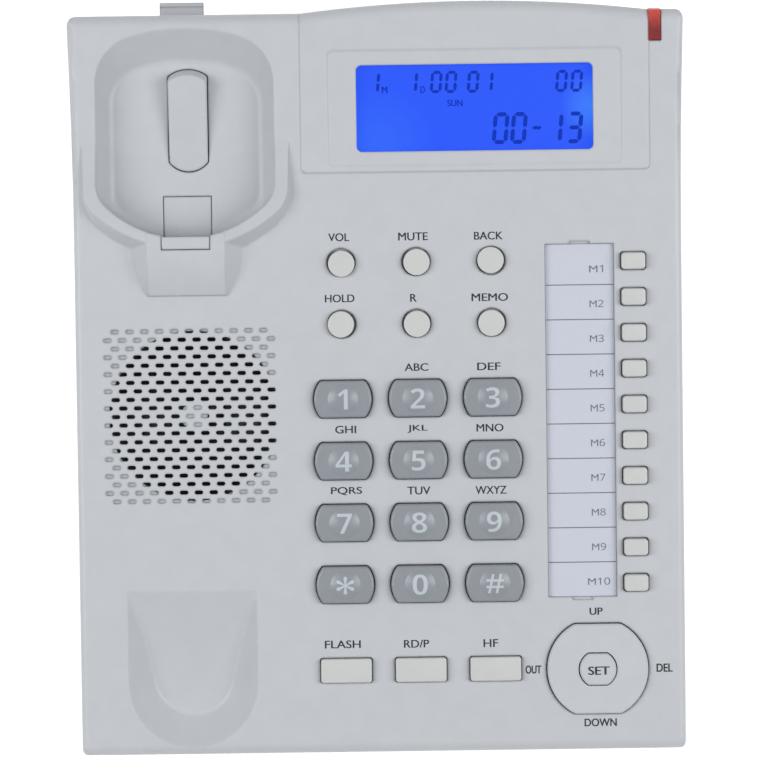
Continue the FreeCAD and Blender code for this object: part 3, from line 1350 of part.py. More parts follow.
def battery_door():
    """Flat door with a bevelled rear edge, two tabs that hook over the floor and a grip."""
    door = battery_well(DOOR_LEDGE - DOOR_GAP, CASE_BOTTOM_Z, CASE_BOTTOM_Z + DOOR_THICKNESS)
    hinge_y, hinge_z = door_hinge()
    size = door.BoundBox
    bevel = (DOOR_THICKNESS + DOOR_GAP) * math.tan(math.radians(DOOR_SWING))
    wedge = prism_along_x(
        [(size.YMax - bevel, size.ZMin), (size.YMax, size.ZMin), (size.YMax, size.ZMax)],
        size.XMin - 1,
        size.XMax + 1,
    )
    tabs = []
    for tab in door_tabs(0, DOOR_TAB_ROOT + DOOR_GAP, 0):
        tab_size = tab.BoundBox
        clearance = box(
            tab_size.XMin, tab_size.XMax, size.YMax, tab_size.YMax, size.ZMax, hinge_z + DOOR_HINGE_LIFT
        )
        foot = box(tab_size.XMin, tab_size.XMax, tab_size.YMin, size.YMax, size.ZMax - 0.5, tab_size.ZMax)
        tabs.append(tab.fuse(foot).cut(clearance))
    grip = column(BATTERY_X, size.YMin + GRIP_SETBACK - GRIP_R, GRIP_R, size.ZMin - 1, size.ZMin + GRIP_DEPTH)
    return door.fuse(tabs).cut([wedge, grip]).removeSplitter()


def batteries():
    cells = []
    for index in range(CELL_COUNT):
        y = BATTERY_Y + (index - (CELL_COUNT - 1) / 2) * CELL_PITCH
        turn = 1 if index % 2 == 0 else -1
        start = Vector(BATTERY_X - turn * CELL_LENGTH / 2, y, cell_centre_z())
        can = Part.makeCylinder(CELL_R, CELL_LENGTH - CELL_NUB_LENGTH, start, Vector(turn, 0, 0))
        nub_start = start + Vector(turn * (CELL_LENGTH - CELL_NUB_LENGTH), 0, 0)
        nub = Part.makeCylinder(CELL_NUB_R, CELL_NUB_LENGTH, nub_start, Vector(turn, 0, 0))
        cells.append(can.fuse(nub))
    return Part.makeCompound(cells)


def battery_contacts():
    """A spring plate at both ends of every cell."""
    plates = []
    reach = CELL_LENGTH / 2 + CONTACT_SPACE
    half = CELL_R - 1.0
    for index in range(CELL_COUNT):
        y = BATTERY_Y + (index - (CELL_COUNT - 1) / 2) * CELL_PITCH
        for side in (-1, 1):
            outer = BATTERY_X + side * reach
            inner = outer - side * CONTACT_THICKNESS
            plate = box(min(outer, inner), max(outer, inner), y - half, y + half, cell_centre_z() - half, cell_centre_z() + half)
            touch = BATTERY_X + side * CELL_LENGTH / 2
            button = Part.makeCone(1.2, 3.2, abs(inner - touch), Vector(touch, y, cell_centre_z()), Vector(side, 0, 0))
            plates.append(plate.fuse(button))
    return Part.makeCompound(plates)


def modular_jack(width, socket_width):
    """A jack body at the origin, its socket open towards -x, with a groove for the plug's latch."""
    half = width / 2
    body = box(0, JACK_DEPTH, -half, half, 0, JACK_HEIGHT)
    floor = (JACK_HEIGHT - SOCKET_HEIGHT) / 2
    socket = box(-1, SOCKET_DEPTH, -socket_width / 2, socket_width / 2, floor, floor + SOCKET_HEIGHT)
    half_latch = SOCKET_LATCH_WIDTH / 2
    groove = box(-1, SOCKET_DEPTH, -half_latch, half_latch, -1, floor)
    return body.cut([socket, groove])


def handset_jack():
    jack = modular_jack(HANDSET_JACK_WIDTH, HANDSET_SOCKET_WIDTH)
    return jack.translated(Vector(-CASE_WIDTH / 2 + JACK_SETBACK, HANDSET_JACK_Y, jack_z()[0]))


def line_jack():
    jack = modular_jack(LINE_JACK_WIDTH, LINE_SOCKET_WIDTH)
    jack = jack.rotated(Vector(0, 0, 0), Vector(0, 0, 1), -90)
    return jack.translated(Vector(LINE_JACK_X, CASE_LENGTH / 2 - JACK_SETBACK, jack_z()[0]))


def mic_z():
    return BASE_FLOOR_Z + MIC_GAP + MIC_BOOT_WALL + MIC_R


def microphone():
    """Microphone capsule in its rubber boot behind the front wall."""
    start = Vector(MIC_X, -CASE_LENGTH / 2 + WALL + MIC_GAP, mic_z())
    boot = Part.makeCylinder(MIC_R + MIC_BOOT_WALL, MIC_DEPTH + MIC_BOOT_WALL, start, Vector(0, 1, 0))
    return boot.cut(Part.makeCylinder(MIC_HOLE_R, MIC_BOOT_WALL, start, Vector(0, 1, 0)))


def speaker():
    """Loudspeaker as one turned solid: rim, basket, magnet and the cone's hollow."""
    rim_top = -WALL - 0.1
    rim_bottom = rim_top - SPEAKER_RIM
    back = -WALL - SPEAKER_DEPTH
    cone_bottom = rim_top - SPEAKER_CONE_DEPTH
    points = [
        (0, rim_top - 3.2), (SPEAKER_CAP_R, cone_bottom), (SPEAKER_CONE_R, rim_top - 0.6), (SPEAKER_CONE_R, rim_top),
        (SPEAKER_R, rim_top), (SPEAKER_R, rim_bottom), (SPEAKER_R - 2, rim_bottom),
        (MAGNET_R, back + MAGNET_DEPTH), (MAGNET_R, back), (0, back),
    ]
    outline = [Vector(SPEAKER_X + r, SPEAKER_Y, z) for r, z in points]
    face = Part.Face(Part.makePolygon(outline + outline[:1]))
    return face.revolve(Vector(SPEAKER_X, SPEAKER_Y, 0), Vector(0, 0, 1), 360)


def hook_switch_lever():
    body = solid_from(lever_outline(0, 0, LEVER_BOTTOM_Z), -LEVER_BOTTOM_Z)
    low_y = LEVER_FRONT_Y - 5
    high_y = LEVER_REAR_Y + 5
    above = prism_along_x(
        [(low_y, lever_top_z(low_y)), (high_y, lever_top_z(high_y)), (high_y, OUTSIDE), (low_y, OUTSIDE)],
        LEVER_X - OUTSIDE,
        LEVER_X + OUTSIDE,
    )
    body = body.cut(above)
    body = body.makeFillet(LEVER_EDGE_R, highest_face(body).Edges)
    half = LEVER_HALF_WIDTH - LEVER_WALL
    pocket = box(
        LEVER_X - half, LEVER_X + half, LEVER_PIVOT_Y + 3.0, LEVER_REAR_Y - 4.0,
        LEVER_BOTTOM_Z - 1, LEVER_PIVOT_Z + 2.0,
    )
    rib = box(
        LEVER_X - 1.2, LEVER_X + 1.2, LEVER_PIVOT_Y + 3.0, LEVER_REAR_Y - 4.0,
        LEVER_BOTTOM_Z, LEVER_PIVOT_Z + 2.0,
    )
    return body.cut(pocket).fuse([rib, trunnion(TRUNNION_R, TRUNNION_LENGTH)]).removeSplitter()


def hook_switch():
    """Small switch on the base, pressed by the lever's rib at the end of its travel."""
    top = BASE_FLOOR_Z + SWITCH_HEIGHT
    body = box(
        LEVER_X - SWITCH_HALF_WIDTH, LEVER_X + SWITCH_HALF_WIDTH,
        SWITCH_FRONT_Y, SWITCH_FRONT_Y + SWITCH_LENGTH, BASE_FLOOR_Z, top,
    )
    return body.fuse(column(LEVER_X, SWITCH_FRONT_Y + SWITCH_LENGTH / 2, PLUNGER_R, top, top + PLUNGER_HEIGHT))


def hook_lever_spring():
    """Leaf spring: a foot on the base and an arm up to the lever's rib."""
    t = SPRING_THICKNESS
    foot_end = SPRING_FOOT_Y + SPRING_FOOT_LENGTH
    floor = BASE_FLOOR_Z
    tip = LEVER_BOTTOM_Z - 0.1
    return prism_along_x(
        [
            (SPRING_FOOT_Y, floor), (foot_end, floor), (SPRING_TIP_Y, tip - t),
            (SPRING_TIP_Y, tip), (foot_end - 0.3, floor + t), (SPRING_FOOT_Y, floor + t),
        ],
        LEVER_X - SPRING_WIDTH / 2,
        LEVER_X + SPRING_WIDTH / 2,
    )


def handset_hook():
    """L-shaped hook: a plate that slides in the block and a tongue that lies in the cup's floor."""
    top = block_height(HOOK_PLATE_Y + HOOK_PLATE_THICKNESS / 2) - 0.25
    plate = hook_plate_space(0, top)
    tongue = hook_tongue_space(0, -EAR_DEPTH - 0.05)
    return plate.fuse(tongue).removeSplitter()


def case_screws():
    screws = []
    for x, y in SCREW_PLACES:
        head = column(x, y, SCREW_HEAD_R, screw_head_z() - SCREW_HEAD_HEIGHT, screw_head_z())
        shank = column(x, y, SCREW_R, screw_head_z(), screw_tip_z())
        screws.append(head.fuse(shank))
    return Part.makeCompound(screws)


def above_stand():
    """The tilted space that the case takes over the stand."""
    slab = box(-CASE_WIDTH, CASE_WIDTH, -CASE_LENGTH, CASE_LENGTH, CASE_BOTTOM_Z - STAND_GAP, OUTSIDE)
    return onto_table(slab)


def keyhole(y):
    """Keyhole in the stand's floor, for a screw head and then its neck towards the rear."""
    low = STAND_FOOT_HEIGHT - 1
    high = STAND_FOOT_HEIGHT + STAND_FLOOR + 1
    entry = column(0, y, KEYHOLE_R, low, high)
    neck = box(-KEYHOLE_SLOT_R, KEYHOLE_SLOT_R, y, y + KEYHOLE_SLOT_LENGTH, low, high)
    end = column(0, y + KEYHOLE_SLOT_LENGTH, KEYHOLE_SLOT_R, low, high)
    return [entry, neck, end]


def stand_lugs():
    """Hooked lugs that rise from the stand's front wall into the case."""
    lugs = []
    half = LUG_WIDTH / 2
    nose_bottom = BASE_FLOOR_Z + LUG_NOSE_GAP
    top = CASE_BOTTOM_Z + LUG_HEIGHT
    for side in (-1, 1):
        x = side * LUG_X
        stalk = box(x - half, x + half, lug_y(), lug_y() + LUG_THICKNESS, CASE_BOTTOM_Z - LUG_HEIGHT, top)
        nose = box(x - half, x + half, lug_y() - LUG_NOSE, lug_y() + LUG_THICKNESS, nose_bottom, top)
        lugs.append(onto_table(stalk.fuse(nose).removeSplitter()))
    return lugs


def desk_stand():
    """Hollow wedge under the case, drawn on the table."""
    floor_z = STAND_FOOT_HEIGHT
    half = STAND_HALF_WIDTH
    outer = rounded_box(-half, half, STAND_FRONT_Y, STAND_REAR_Y, floor_z, OUTSIDE, STAND_CORNER_R)
    inner = rounded_box(
        -half + WALL, half - WALL, STAND_FRONT_Y + WALL, STAND_REAR_Y - WALL,
        floor_z + STAND_FLOOR, OUTSIDE, STAND_CORNER_R - WALL,
    )
    stand = outer.cut(inner)
    ribs = [
        box(x - WALL / 2, x + WALL / 2, STAND_FRONT_Y + 1, STAND_REAR_Y - 1, floor_z + 1, OUTSIDE)
        for x in (-STAND_RIB_X, STAND_RIB_X)
    ]
    stand = stand.fuse(ribs).cut(above_stand())

    rear_z = table_point(CASE_LENGTH / 2, CASE_BOTTOM_Z)[1]
    tab_top = rear_z - TAB_DROP - TAB_RIB
    tab_left = TAB_X - TAB_WIDTH / 2
    tab_right = TAB_X + TAB_WIDTH / 2
    tab_end = STAND_REAR_Y + TAB_LENGTH
    slits = [
        box(x0, x0 + TAB_SLIT, STAND_REAR_Y - WALL - 1, STAND_REAR_Y + 1, tab_top / 2, OUTSIDE)
        for x0 in (tab_left - TAB_SLIT, tab_right)
    ]
    plate = box(tab_left, tab_right, STAND_REAR_Y - WALL, tab_end, tab_top - TAB_THICKNESS, tab_top)
    rib = box(tab_left, tab_right, tab_end - TAB_RIB, tab_end, tab_top - TAB_THICKNESS, tab_top + TAB_RIB / 2)
    stand = stand.cut(slits + keyhole(KEYHOLE_FRONT_Y) + keyhole(KEYHOLE_FRONT_Y + KEYHOLE_PITCH))
    stand = stand.fuse([plate, rib] + stand_lugs())
    recesses = [
        column(side * STAND_FOOT_X, STAND_FOOT_Y, FOOT_R + FOOT_GAP, floor_z - 1, floor_z + FOOT_RECESS) for side in (-1, 1)
    ]
    return stand.cut(recesses).removeSplitter()


def front_feet():
    """Rubber feet on the case, cut level with the table."""
    feet = []
    for side in (-1, 1):
        foot = column(side * FRONT_FOOT_X, FRONT_FOOT_Y, FOOT_R, CASE_BOTTOM_Z - 10, CASE_BOTTOM_Z + FOOT_RECESS)
        foot = onto_table(foot)
        feet.append(foot.cut(box(-CASE_WIDTH, CASE_WIDTH, -CASE_LENGTH, CASE_LENGTH, -OUTSIDE, 0)))
    return Part.makeCompound(feet)


def stand_feet():
    return Part.makeCompound([
        column(side * STAND_FOOT_X, STAND_FOOT_Y, FOOT_R, 0, STAND_FOOT_HEIGHT + FOOT_RECESS) for side in (-1, 1)
    ])


def build():
    """All pieces by name, over the table, before they are centred."""
    on_deck = {
        "top_housing": top_housing(),
        "bottom_housing": bottom_housing(),
        "display_bezel": display_bezel(),
        "display_window": display_window(),
        "lcd_module": lcd_module(),
        "display_board": display_board(),
        "indicator_lens": indicator_lens(),
        "index_card": index_card(),
        "index_card_cover": index_card_cover(),
        "hook_switch_lever": hook_switch_lever(),
        "hook_switch": hook_switch(),
        "hook_lever_spring": hook_lever_spring(),
        "handset_hook": handset_hook(),
        "navigation_ring": navigation_ring(),
        "navigation_pivot": navigation_pivot(),
        "set_button": set_button(),
        "keypad_membrane": membrane(),
        "main_board": main_board(),
        "speaker": speaker(),
        "microphone": microphone(),
        "line_jack": line_jack(),
        "handset_jack": handset_jack(),
        "case_screws": case_screws(),
        "battery_door": battery_door(),
        "batteries": batteries(),
        "battery_contacts": battery_contacts(),
    }
    number_keys = [name for names in NUMBER_KEYS for name in names]
    for name, x, y, outline, height, lip, chamfer in key_table():
        key = push_key(x, y, outline, height, lip, chamfer)
        if name in number_keys:
            key = key.fuse(key_dome(x, y)).removeSplitter()
        on_deck[name] = key
    pieces = {name: onto_table(shape) for name, shape in on_deck.items()}
    pieces["desk_stand"] = desk_stand()
    pieces["front_feet"] = front_feet()
    pieces["stand_feet"] = stand_feet()
    return pieces


def footprint_middle(pieces):
    """y of the middle of the whole telephone, which the origin stands under."""
    size = Part.makeCompound(list(pieces.values())).optimalBoundingBox(False, False)
    return (size.YMin + size.YMax) / 2


os.makedirs("parts", exist_ok=True)
PIECES = build()
CENTRE_Y = footprint_middle(PIECES)
for node, shape in PIECES.items():
    shape.translated(Vector(0, -CENTRE_Y, 0)).exportStep(f"parts/{node}.step")
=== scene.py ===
import json
import math

import bmesh
import bpy
from mathutils import Matrix, Vector


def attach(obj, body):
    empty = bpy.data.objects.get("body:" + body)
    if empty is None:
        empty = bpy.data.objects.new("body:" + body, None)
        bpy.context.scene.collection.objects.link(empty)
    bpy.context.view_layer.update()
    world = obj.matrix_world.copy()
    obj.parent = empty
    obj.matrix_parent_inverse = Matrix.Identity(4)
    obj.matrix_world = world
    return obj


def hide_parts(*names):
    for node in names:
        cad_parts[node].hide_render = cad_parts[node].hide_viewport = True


# Looks of a corded desk telephone's base unit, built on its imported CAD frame.
# New pieces are drawn in deck millimetres, as in the part's source: x to the right,
# y up the slope to the rear, z off the deck, whose top is z = 0.

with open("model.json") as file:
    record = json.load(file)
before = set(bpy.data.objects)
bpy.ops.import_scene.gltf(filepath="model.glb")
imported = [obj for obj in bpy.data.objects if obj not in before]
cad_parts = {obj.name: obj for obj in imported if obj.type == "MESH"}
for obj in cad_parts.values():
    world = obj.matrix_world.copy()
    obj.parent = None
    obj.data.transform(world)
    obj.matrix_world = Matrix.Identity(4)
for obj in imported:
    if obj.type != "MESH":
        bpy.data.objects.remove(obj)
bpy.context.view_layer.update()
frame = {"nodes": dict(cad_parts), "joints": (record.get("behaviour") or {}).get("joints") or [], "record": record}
nodes = frame["nodes"]
joints = {joint["name"]: joint for joint in frame["joints"]}


# The deck in the frame: keys slide square to it, and the ring tilts about a known point of it

MM = 0.001
RING_PIVOT = Vector((62.35, -83.6, -3.0))
UP = -Vector(joints["key_1_press"]["axis"])
RIGHT = Vector((1, 0, 0))
REAR = UP.cross(RIGHT)
TURN = Matrix((RIGHT, REAR, UP)).transposed()
ORIGIN = Vector(joints["navigation_up_down"]["pos_m"]) - TURN @ RING_PIVOT * MM
DECK = Matrix.Translation(ORIGIN) @ (TURN * MM).to_4x4()
TO_DECK = DECK.inverted()


def deck_span(node):
    """Lowest and highest corner of a CAD node in deck millimetres."""
    points = [TO_DECK @ vert.co for vert in nodes[node].data.vertices]
    low = Vector([min(point[i] for point in points) for i in range(3)])
    high = Vector([max(point[i] for point in points) for i in range(3)])
    return low, high


# Materials

def linear(red, green, blue):
    """Shader colour of 8-bit screen values, by the sRGB formula."""
    out = []
    for value in (red, green, blue):
        value /= 255
        out.append(value / 12.92 if value <= 0.04045 else ((value + 0.055) / 1.055) ** 2.4)
    return (*out, 1.0)


class Shader:
    """A node material with a Principled shader and a place to hang procedural nodes."""

    def __init__(self, name, colour, roughness):
        self.material = bpy.data.materials.new(name)
        self.material.use_nodes = True
        self.tree = self.material.node_tree
        self.bsdf = self.tree.nodes["Principled BSDF"]
        self.bsdf.inputs["Base Color"].default_value = colour
        self.bsdf.inputs["Roughness"].default_value = roughness
        self.colour = colour
        self.roughness = roughness
        self.place = self.node("ShaderNodeTexCoord").outputs["Object"]

    def node(self, kind, **inputs):
        """A new node; the spaces in its inputs' names are written as underscores."""
        made = self.tree.nodes.new(kind)
        for name, value in inputs.items():
            made.inputs[name.replace("_", " ")].default_value = value
        return made

    def link(self, output, socket):
        self.tree.links.new(output, socket)

    def noise(self, size_mm, detail=2.0):
        """Noise whose features are about size_mm across."""
        noise = self.node("ShaderNodeTexNoise", Scale=1 / (size_mm * MM), Detail=detail)
        self.link(self.place, noise.inputs["Vector"])
        return noise.outputs["Fac"]

    def ranged(self, source, low, high, from_low=0.35, from_high=0.65):
        """Maps source to low and high; noise lies mostly between the from values given here."""
        mapped = self.node("ShaderNodeMapRange", From_Min=from_low, From_Max=from_high)
        mapped.inputs["To Min"].default_value = low
        mapped.inputs["To Max"].default_value = high
        self.link(source, mapped.inputs["Value"])
        return mapped.outputs["Result"]

    def blend(self, first, second, factor):
        """Goes from the first screen colour to the second as factor goes from 0 to 1."""
        mix = self.node("ShaderNodeMix")
        mix.data_type = "RGBA"
        mix.inputs["A"].default_value = linear(*first)
        mix.inputs["B"].default_value = linear(*second)
        self.link(factor, mix.inputs["Factor"])
        return mix.outputs["Result"]

    def mottle(self, size_mm, amount, base=None):
        """Varies the brightness of the base colour, or of what base gives, over patches of size_mm."""
        scale = self.ranged(self.noise(size_mm), 1 - amount, 1 + amount)
        mix = self.node("ShaderNodeVectorMath")
        mix.operation = "SCALE"
        mix.inputs[0].default_value = self.colour[:3]
        if base:
            self.link(base, mix.inputs[0])
        self.link(scale, mix.inputs["Scale"])
        self.link(mix.outputs["Vector"], self.bsdf.inputs["Base Color"])
        return self

    def smudges(self, size_mm, amount):
        """Varies the roughness by amount over patches of size_mm."""
        result = self.ranged(self.noise(size_mm, 3.0), self.roughness - amount, self.roughness + amount)
        self.link(result, self.bsdf.inputs["Roughness"])
        return self

    def grain(self, size_mm, height_mm, edge_mm=0):
        """Fine bumps of the mould's texture, and edges that look rounded to edge_mm."""
        bump = self.node("ShaderNodeBump", Strength=1.0, Distance=height_mm * MM)
        self.link(self.noise(size_mm, 3.0), bump.inputs["Height"])
        if edge_mm:
            bevel = self.node("ShaderNodeBevel", Radius=edge_mm * MM)
            bevel.samples = 6
            self.link(bevel.outputs["Normal"], bump.inputs["Normal"])
        self.link(bump.outputs["Normal"], self.bsdf.inputs["Normal"])
        return self

    def sockets(self, **values):
        """Sets inputs of the Principled shader, with underscores for the spaces in their names."""
        for name, value in values.items():
            self.bsdf.inputs[name.replace("_", " ")].default_value = value
        return self


def plastic(name, colour, roughness, grain_mm=0.35, height_mm=0.012, mottle=0.012, edge_mm=0):
    """Moulded plastic with a fine grain."""
    shader = Shader(name, linear(*colour), roughness)
    shader.mottle(6, mottle).smudges(3, 0.04).grain(grain_mm, height_mm, edge_mm)
    return shader.material


def metal(name, colour, roughness):
    """Plated metal, a little uneven."""
    shader = Shader(name, linear(*colour), roughness)
    shader.mottle(1.5, 0.05).smudges(1.0, 0.08).grain(0.2, 0.004)
    return shader.sockets(Metallic=1.0).material


def empty_material(name):
    """A material with its node tree and the only node in it, its output."""
    material = bpy.data.materials.new(name)
    material.use_nodes = True
    tree = material.node_tree
    tree.nodes.clear()
    return material, tree, tree.nodes.new("ShaderNodeOutputMaterial")


def see_through(name, tint, sheen, roughness):
    """Clear sheet: mostly passes light straight on, with a glossy face."""
    material, tree, out = empty_material(name)
    clear = tree.nodes.new("ShaderNodeBsdfTransparent")
    clear.inputs["Color"].default_value = tint
    gloss = tree.nodes.new("ShaderNodeBsdfGlossy")
    gloss.inputs["Roughness"].default_value = roughness
    edge = tree.nodes.new("ShaderNodeFresnel")
    edge.inputs["IOR"].default_value = 1.49
    scale = tree.nodes.new("ShaderNodeMath")
    scale.operation = "MULTIPLY"
    scale.inputs[1].default_value = sheen
    mix = tree.nodes.new("ShaderNodeMixShader")
    tree.links.new(edge.outputs["Fac"], scale.inputs[0])
    tree.links.new(scale.outputs["Value"], mix.inputs["Fac"])
    tree.links.new(clear.outputs["BSDF"], mix.inputs[1])
    tree.links.new(gloss.outputs["BSDF"], mix.inputs[2])
    tree.links.new(mix.outputs["Shader"], out.inputs["Surface"])
    return material


GLOW_DROP = 2.6


def lcd_material():
    """Backlit blue panel, brighter round its lamp at the right and, faintly, low on the left."""
    shader = Shader("lcd_glow", linear(20, 40, 90), 0.3)
    mapping = shader.node("ShaderNodeMapping")
    mapping.vector_type = "POINT"
    mapping.inputs["Location"].default_value = TO_DECK.to_translation()
    mapping.inputs["Rotation"].default_value = TO_DECK.to_euler()
    mapping.inputs["Scale"].default_value = (1 / MM,) * 3
    shader.link(shader.place, mapping.inputs["Vector"])
    low, high = deck_span("display_window")
    lamp = (high.x - 1.5, (low.y + high.y) / 2)
    corner = (low.x + 8, low.y + 4)

    def spot(x, y, reach, gain):
        """Glow that fades from gain at x, y to nothing at reach."""
        away = shader.node("ShaderNodeVectorMath")
        away.operation = "DISTANCE"
        away.inputs[1].default_value = (x, y, low.z - GLOW_DROP)
        shader.link(mapping.outputs["Vector"], away.inputs[0])
        return shader.ranged(away.outputs["Value"], gain, 0.0, 0.0, reach)

    both = shader.node("ShaderNodeMath")
    shader.link(spot(*lamp, reach=10.0, gain=0.6), both.inputs[0])
    shader.link(spot(*corner, reach=17.0, gain=0.16), both.inputs[1])
    glow = shader.blend((22, 80, 250), (70, 160, 255), both.outputs["Value"])
    shader.link(glow, shader.bsdf.inputs["Emission Color"])
    return shader.sockets(Emission_Strength=0.9).material


def lens_painted_light_material():
    """Red lens with painted light: brighter toward its rear, and a faint painted glow though it is no lamp."""
    shader = Shader("lens_red_painted_light", linear(118, 44, 42), 0.18)
    split = shader.node("ShaderNodeSeparateXYZ")
    shader.link(shader.node("ShaderNodeTexCoord").outputs["Generated"], split.inputs["Vector"])
    # Painted light: the lens's colour grows brighter toward its rear.
    painted_light_rearward = shader.ranged(split.outputs["Y"], 0, 1, 0.25, 0.85)
    shader.mottle(2.5, 0.12, shader.blend((128, 44, 46), (205, 84, 72), painted_light_rearward))
    shader.sockets(Subsurface_Weight=0.35, Subsurface_Scale=0.002, Coat_Weight=0.5, Coat_Roughness=0.05)
    # Painted glow: a faint red emission, though no lamp shines in the lens.
    return shader.sockets(Emission_Color=linear(200, 40, 30), Emission_Strength=0.06).material


def board_material():
    """Green circuit board with broad copper tracks under the lacquer."""
    shader = Shader("board_green", linear(34, 96, 60), 0.35)
    waves = shader.node("ShaderNodeTexWave", Scale=220.0, Distortion=6.0, Detail=1.0)
    waves.bands_direction = "DIAGONAL"
    shader.link(shader.place, waves.inputs["Vector"])
    tracks = shader.ranged(waves.outputs["Fac"], 0, 1, 0.45, 0.55)
    shader.link(shader.blend((30, 88, 54), (52, 124, 80), tracks), shader.bsdf.inputs["Base Color"])
    return shader.material


def segment_material():
    """Figures darker than the panel behind them, whose glow they partly let through."""
    shader = Shader("lcd_segments", linear(2, 6, 24), 0.6).mottle(1.0, 0.02)
    shader.sockets(Specular_IOR_Level=0.1, Emission_Color=linear(4, 54, 192), Emission_Strength=0.9)
    return shader.material


HOUSING = plastic("housing_plastic", (197, 200, 205), 0.42, edge_mm=1.1)
NUMBER = plastic("number_key_plastic", (145, 151, 157), 0.31, grain_mm=0.5, height_mm=0.003)
LIGHT_KEY = plastic("light_key_plastic", (205, 206, 205), 0.36, grain_mm=0.3, height_mm=0.006)
RING = plastic("ring_plastic", (199, 203, 208), 0.36, grain_mm=0.3, height_mm=0.006)
CARD = Shader("card_paper", linear(208, 212, 223), 0.8).mottle(0.6, 0.01).grain(0.12, 0.01).material
RUBBER = Shader("silicone_rubber", linear(138, 140, 143), 0.6).mottle(3, 0.04).grain(0.25, 0.02).material
FEET = Shader("feet_rubber", linear(46, 46, 48), 0.75).mottle(1.5, 0.15).grain(0.25, 0.04).material
BLACK = plastic("black_plastic", (38, 38, 41), 0.4, grain_mm=0.3, height_mm=0.02, mottle=0.08)
CELL = Shader("cell_sleeve", linear(60, 62, 68), 0.3).mottle(4, 0.03).sockets(Metallic=0.4).material
STEEL = metal("plated_steel", (190, 190, 194), 0.3)
GOLD = metal("gold_contacts", (212, 175, 96), 0.25)
CLEAR = see_through("clear_polycarbonate", tint=(0.995, 0.997, 1.0, 1), sheen=0.12, roughness=0.12)
LCD = lcd_material()
LENS = lens_painted_light_material()
BOARD = board_material()
INK = Shader("dark_ink", linear(62, 64, 70), 0.55).mottle(0.5, 0.06).material
CARD_INK = Shader("card_ink", linear(112, 114, 120), 0.7).mottle(0.4, 0.06).material
DIGIT_INK = Shader("pale_ink", linear(192, 201, 207), 0.4).mottle(0.6, 0.02).material
SEGMENT = segment_material()
SLOT_MATERIALS = {
    "housing": HOUSING, "number_key": NUMBER, "light_key": LIGHT_KEY, "ring": RING, "clear": CLEAR,
    "lcd": LCD, "lens": LENS, "card": CARD, "board": BOARD, "membrane_rubber": RUBBER, "feet_rubber": FEET,
    "black_plastic": BLACK, "steel": STEEL, "cell": CELL,
}
for part in frame["record"]["subparts"]:
    mesh = nodes[part["node"]].data
    mesh.materials.clear()
    mesh.materials.append(RING if part["node"] == "set_button" else SLOT_MATERIALS[part["material_slot"]])


# Pieces

def add_piece(name, mesh, material, body, smooth=35):
    """Puts a mesh drawn in deck millimetres in its place and rides it on its body.

    Edges sharper than smooth degrees stay sharp; with 0 every face stays flat."""
    mesh.transform(DECK)
    mesh.materials.clear()
    mesh.materials.append(material)
    for face in mesh.polygons:
        face.use_smooth = bool(smooth)
    obj = bpy.data.objects.new(name, mesh)
    bpy.context.scene.collection.objects.link(obj)
    if smooth:
        mesh.set_sharp_from_angle(angle=math.radians(smooth))
    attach(obj, body)
    return obj


def to_mesh(name, bm):
    """Mesh of a drawing whose faces may have been made either way round."""
    bmesh.ops.recalc_face_normals(bm, faces=bm.faces)
    mesh = bpy.data.meshes.new(name)
    bm.to_mesh(mesh)
    bm.free()
    return mesh


def cut_across(bm, point, normal):
    """Cuts every face that the plane through point crosses."""
    everything = list(bm.verts) + list(bm.edges) + list(bm.faces)
    bmesh.ops.bisect_plane(bm, geom=everything, plane_co=point, plane_no=normal)


# Key caps, from outlines of (anchor x, anchor y, normal x, normal y, radius) that can grow evenly

def circle(radius, steps):
    """Outline of a full circle."""
    angles = [2 * math.pi * step / steps for step in range(steps)]
    return [(0.0, 0.0, math.cos(angle), math.sin(angle), radius) for angle in angles]


def rounded_rectangle(half_x, half_y, corner, steps=6):
    """Outline of a rectangle with round corners."""
    points = []
    for quarter, (sign_x, sign_y) in enumerate(((1, 1), (-1, 1), (-1, -1), (1, -1))):
        anchor = (sign_x * (half_x - corner), sign_y * (half_y - corner))
        for step in range(steps + 1):
            angle = math.radians(90 * (quarter + step / steps))
            points.append((*anchor, math.cos(angle), math.sin(angle), corner))
    return points


def flattened_circle(radius, half_height, corner, steps=9):
    """Outline of a circle with flats at its top and bottom and rounded corners between."""
    rise = half_height - corner
    run = math.sqrt((radius - corner) ** 2 - rise ** 2)
    turn = math.degrees(math.atan2(rise, run))
    quarter = [(0.0, 0.0, turn * step / steps, radius) for step in range(steps + 1)]
    quarter += [(run, rise, turn + (90 - turn) * step / steps, corner) for step in range(1, steps + 1)]
    points = []
    for index in range(4):
        mirror_x = -1 if index in (1, 2) else 1
        mirror_y = -1 if index in (2, 3) else 1
        for x, y, angle, radius_here in quarter if index in (0, 2) else quarter[::-1]:
            normal_x = mirror_x * math.cos(math.radians(angle))
            normal_y = mirror_y * math.sin(math.radians(angle))
            points.append((mirror_x * x, mirror_y * y, normal_x, normal_y, radius_here))
    return points


def loft(bm, outline, levels, centre):
    """Solid through the outline about centre at each (grow, z)."""
    rings = []
    for grow, z in levels:
        rings.append([
            bm.verts.new((centre[0] + ax + nx * (r + grow), centre[1] + ay + ny * (r + grow), z))
            for ax, ay, nx, ny, r in outline
        ])
    count = len(outline)
    for low, high in zip(rings, rings[1:]):
        for i in range(count):
            j = (i + 1) % count
            bm.faces.new((low[i], low[j], high[j], high[i]))
    bm.faces.new(rings[0][::-1])
    bm.faces.new(rings[-1])


def rounded_levels(base, top, radius, steps=5):
    """Levels of a side from base up to top with a rounded top edge."""
    levels = [(0.0, base)]
    for step in range(steps + 1):
        angle = math.radians(90 * step / steps)
        levels.append((-radius * (1 - math.cos(angle)), top - radius * (1 - math.sin(angle))))
    return levels


def dome_height(reach, radius, height):
    """Height of a shallow ball cap of that radius and height, at reach from its middle."""
    ball = (radius ** 2 + height ** 2) / (2 * height)
    if reach >= radius:
        return 0.0
    return math.sqrt(ball ** 2 - reach ** 2) - (ball - height)


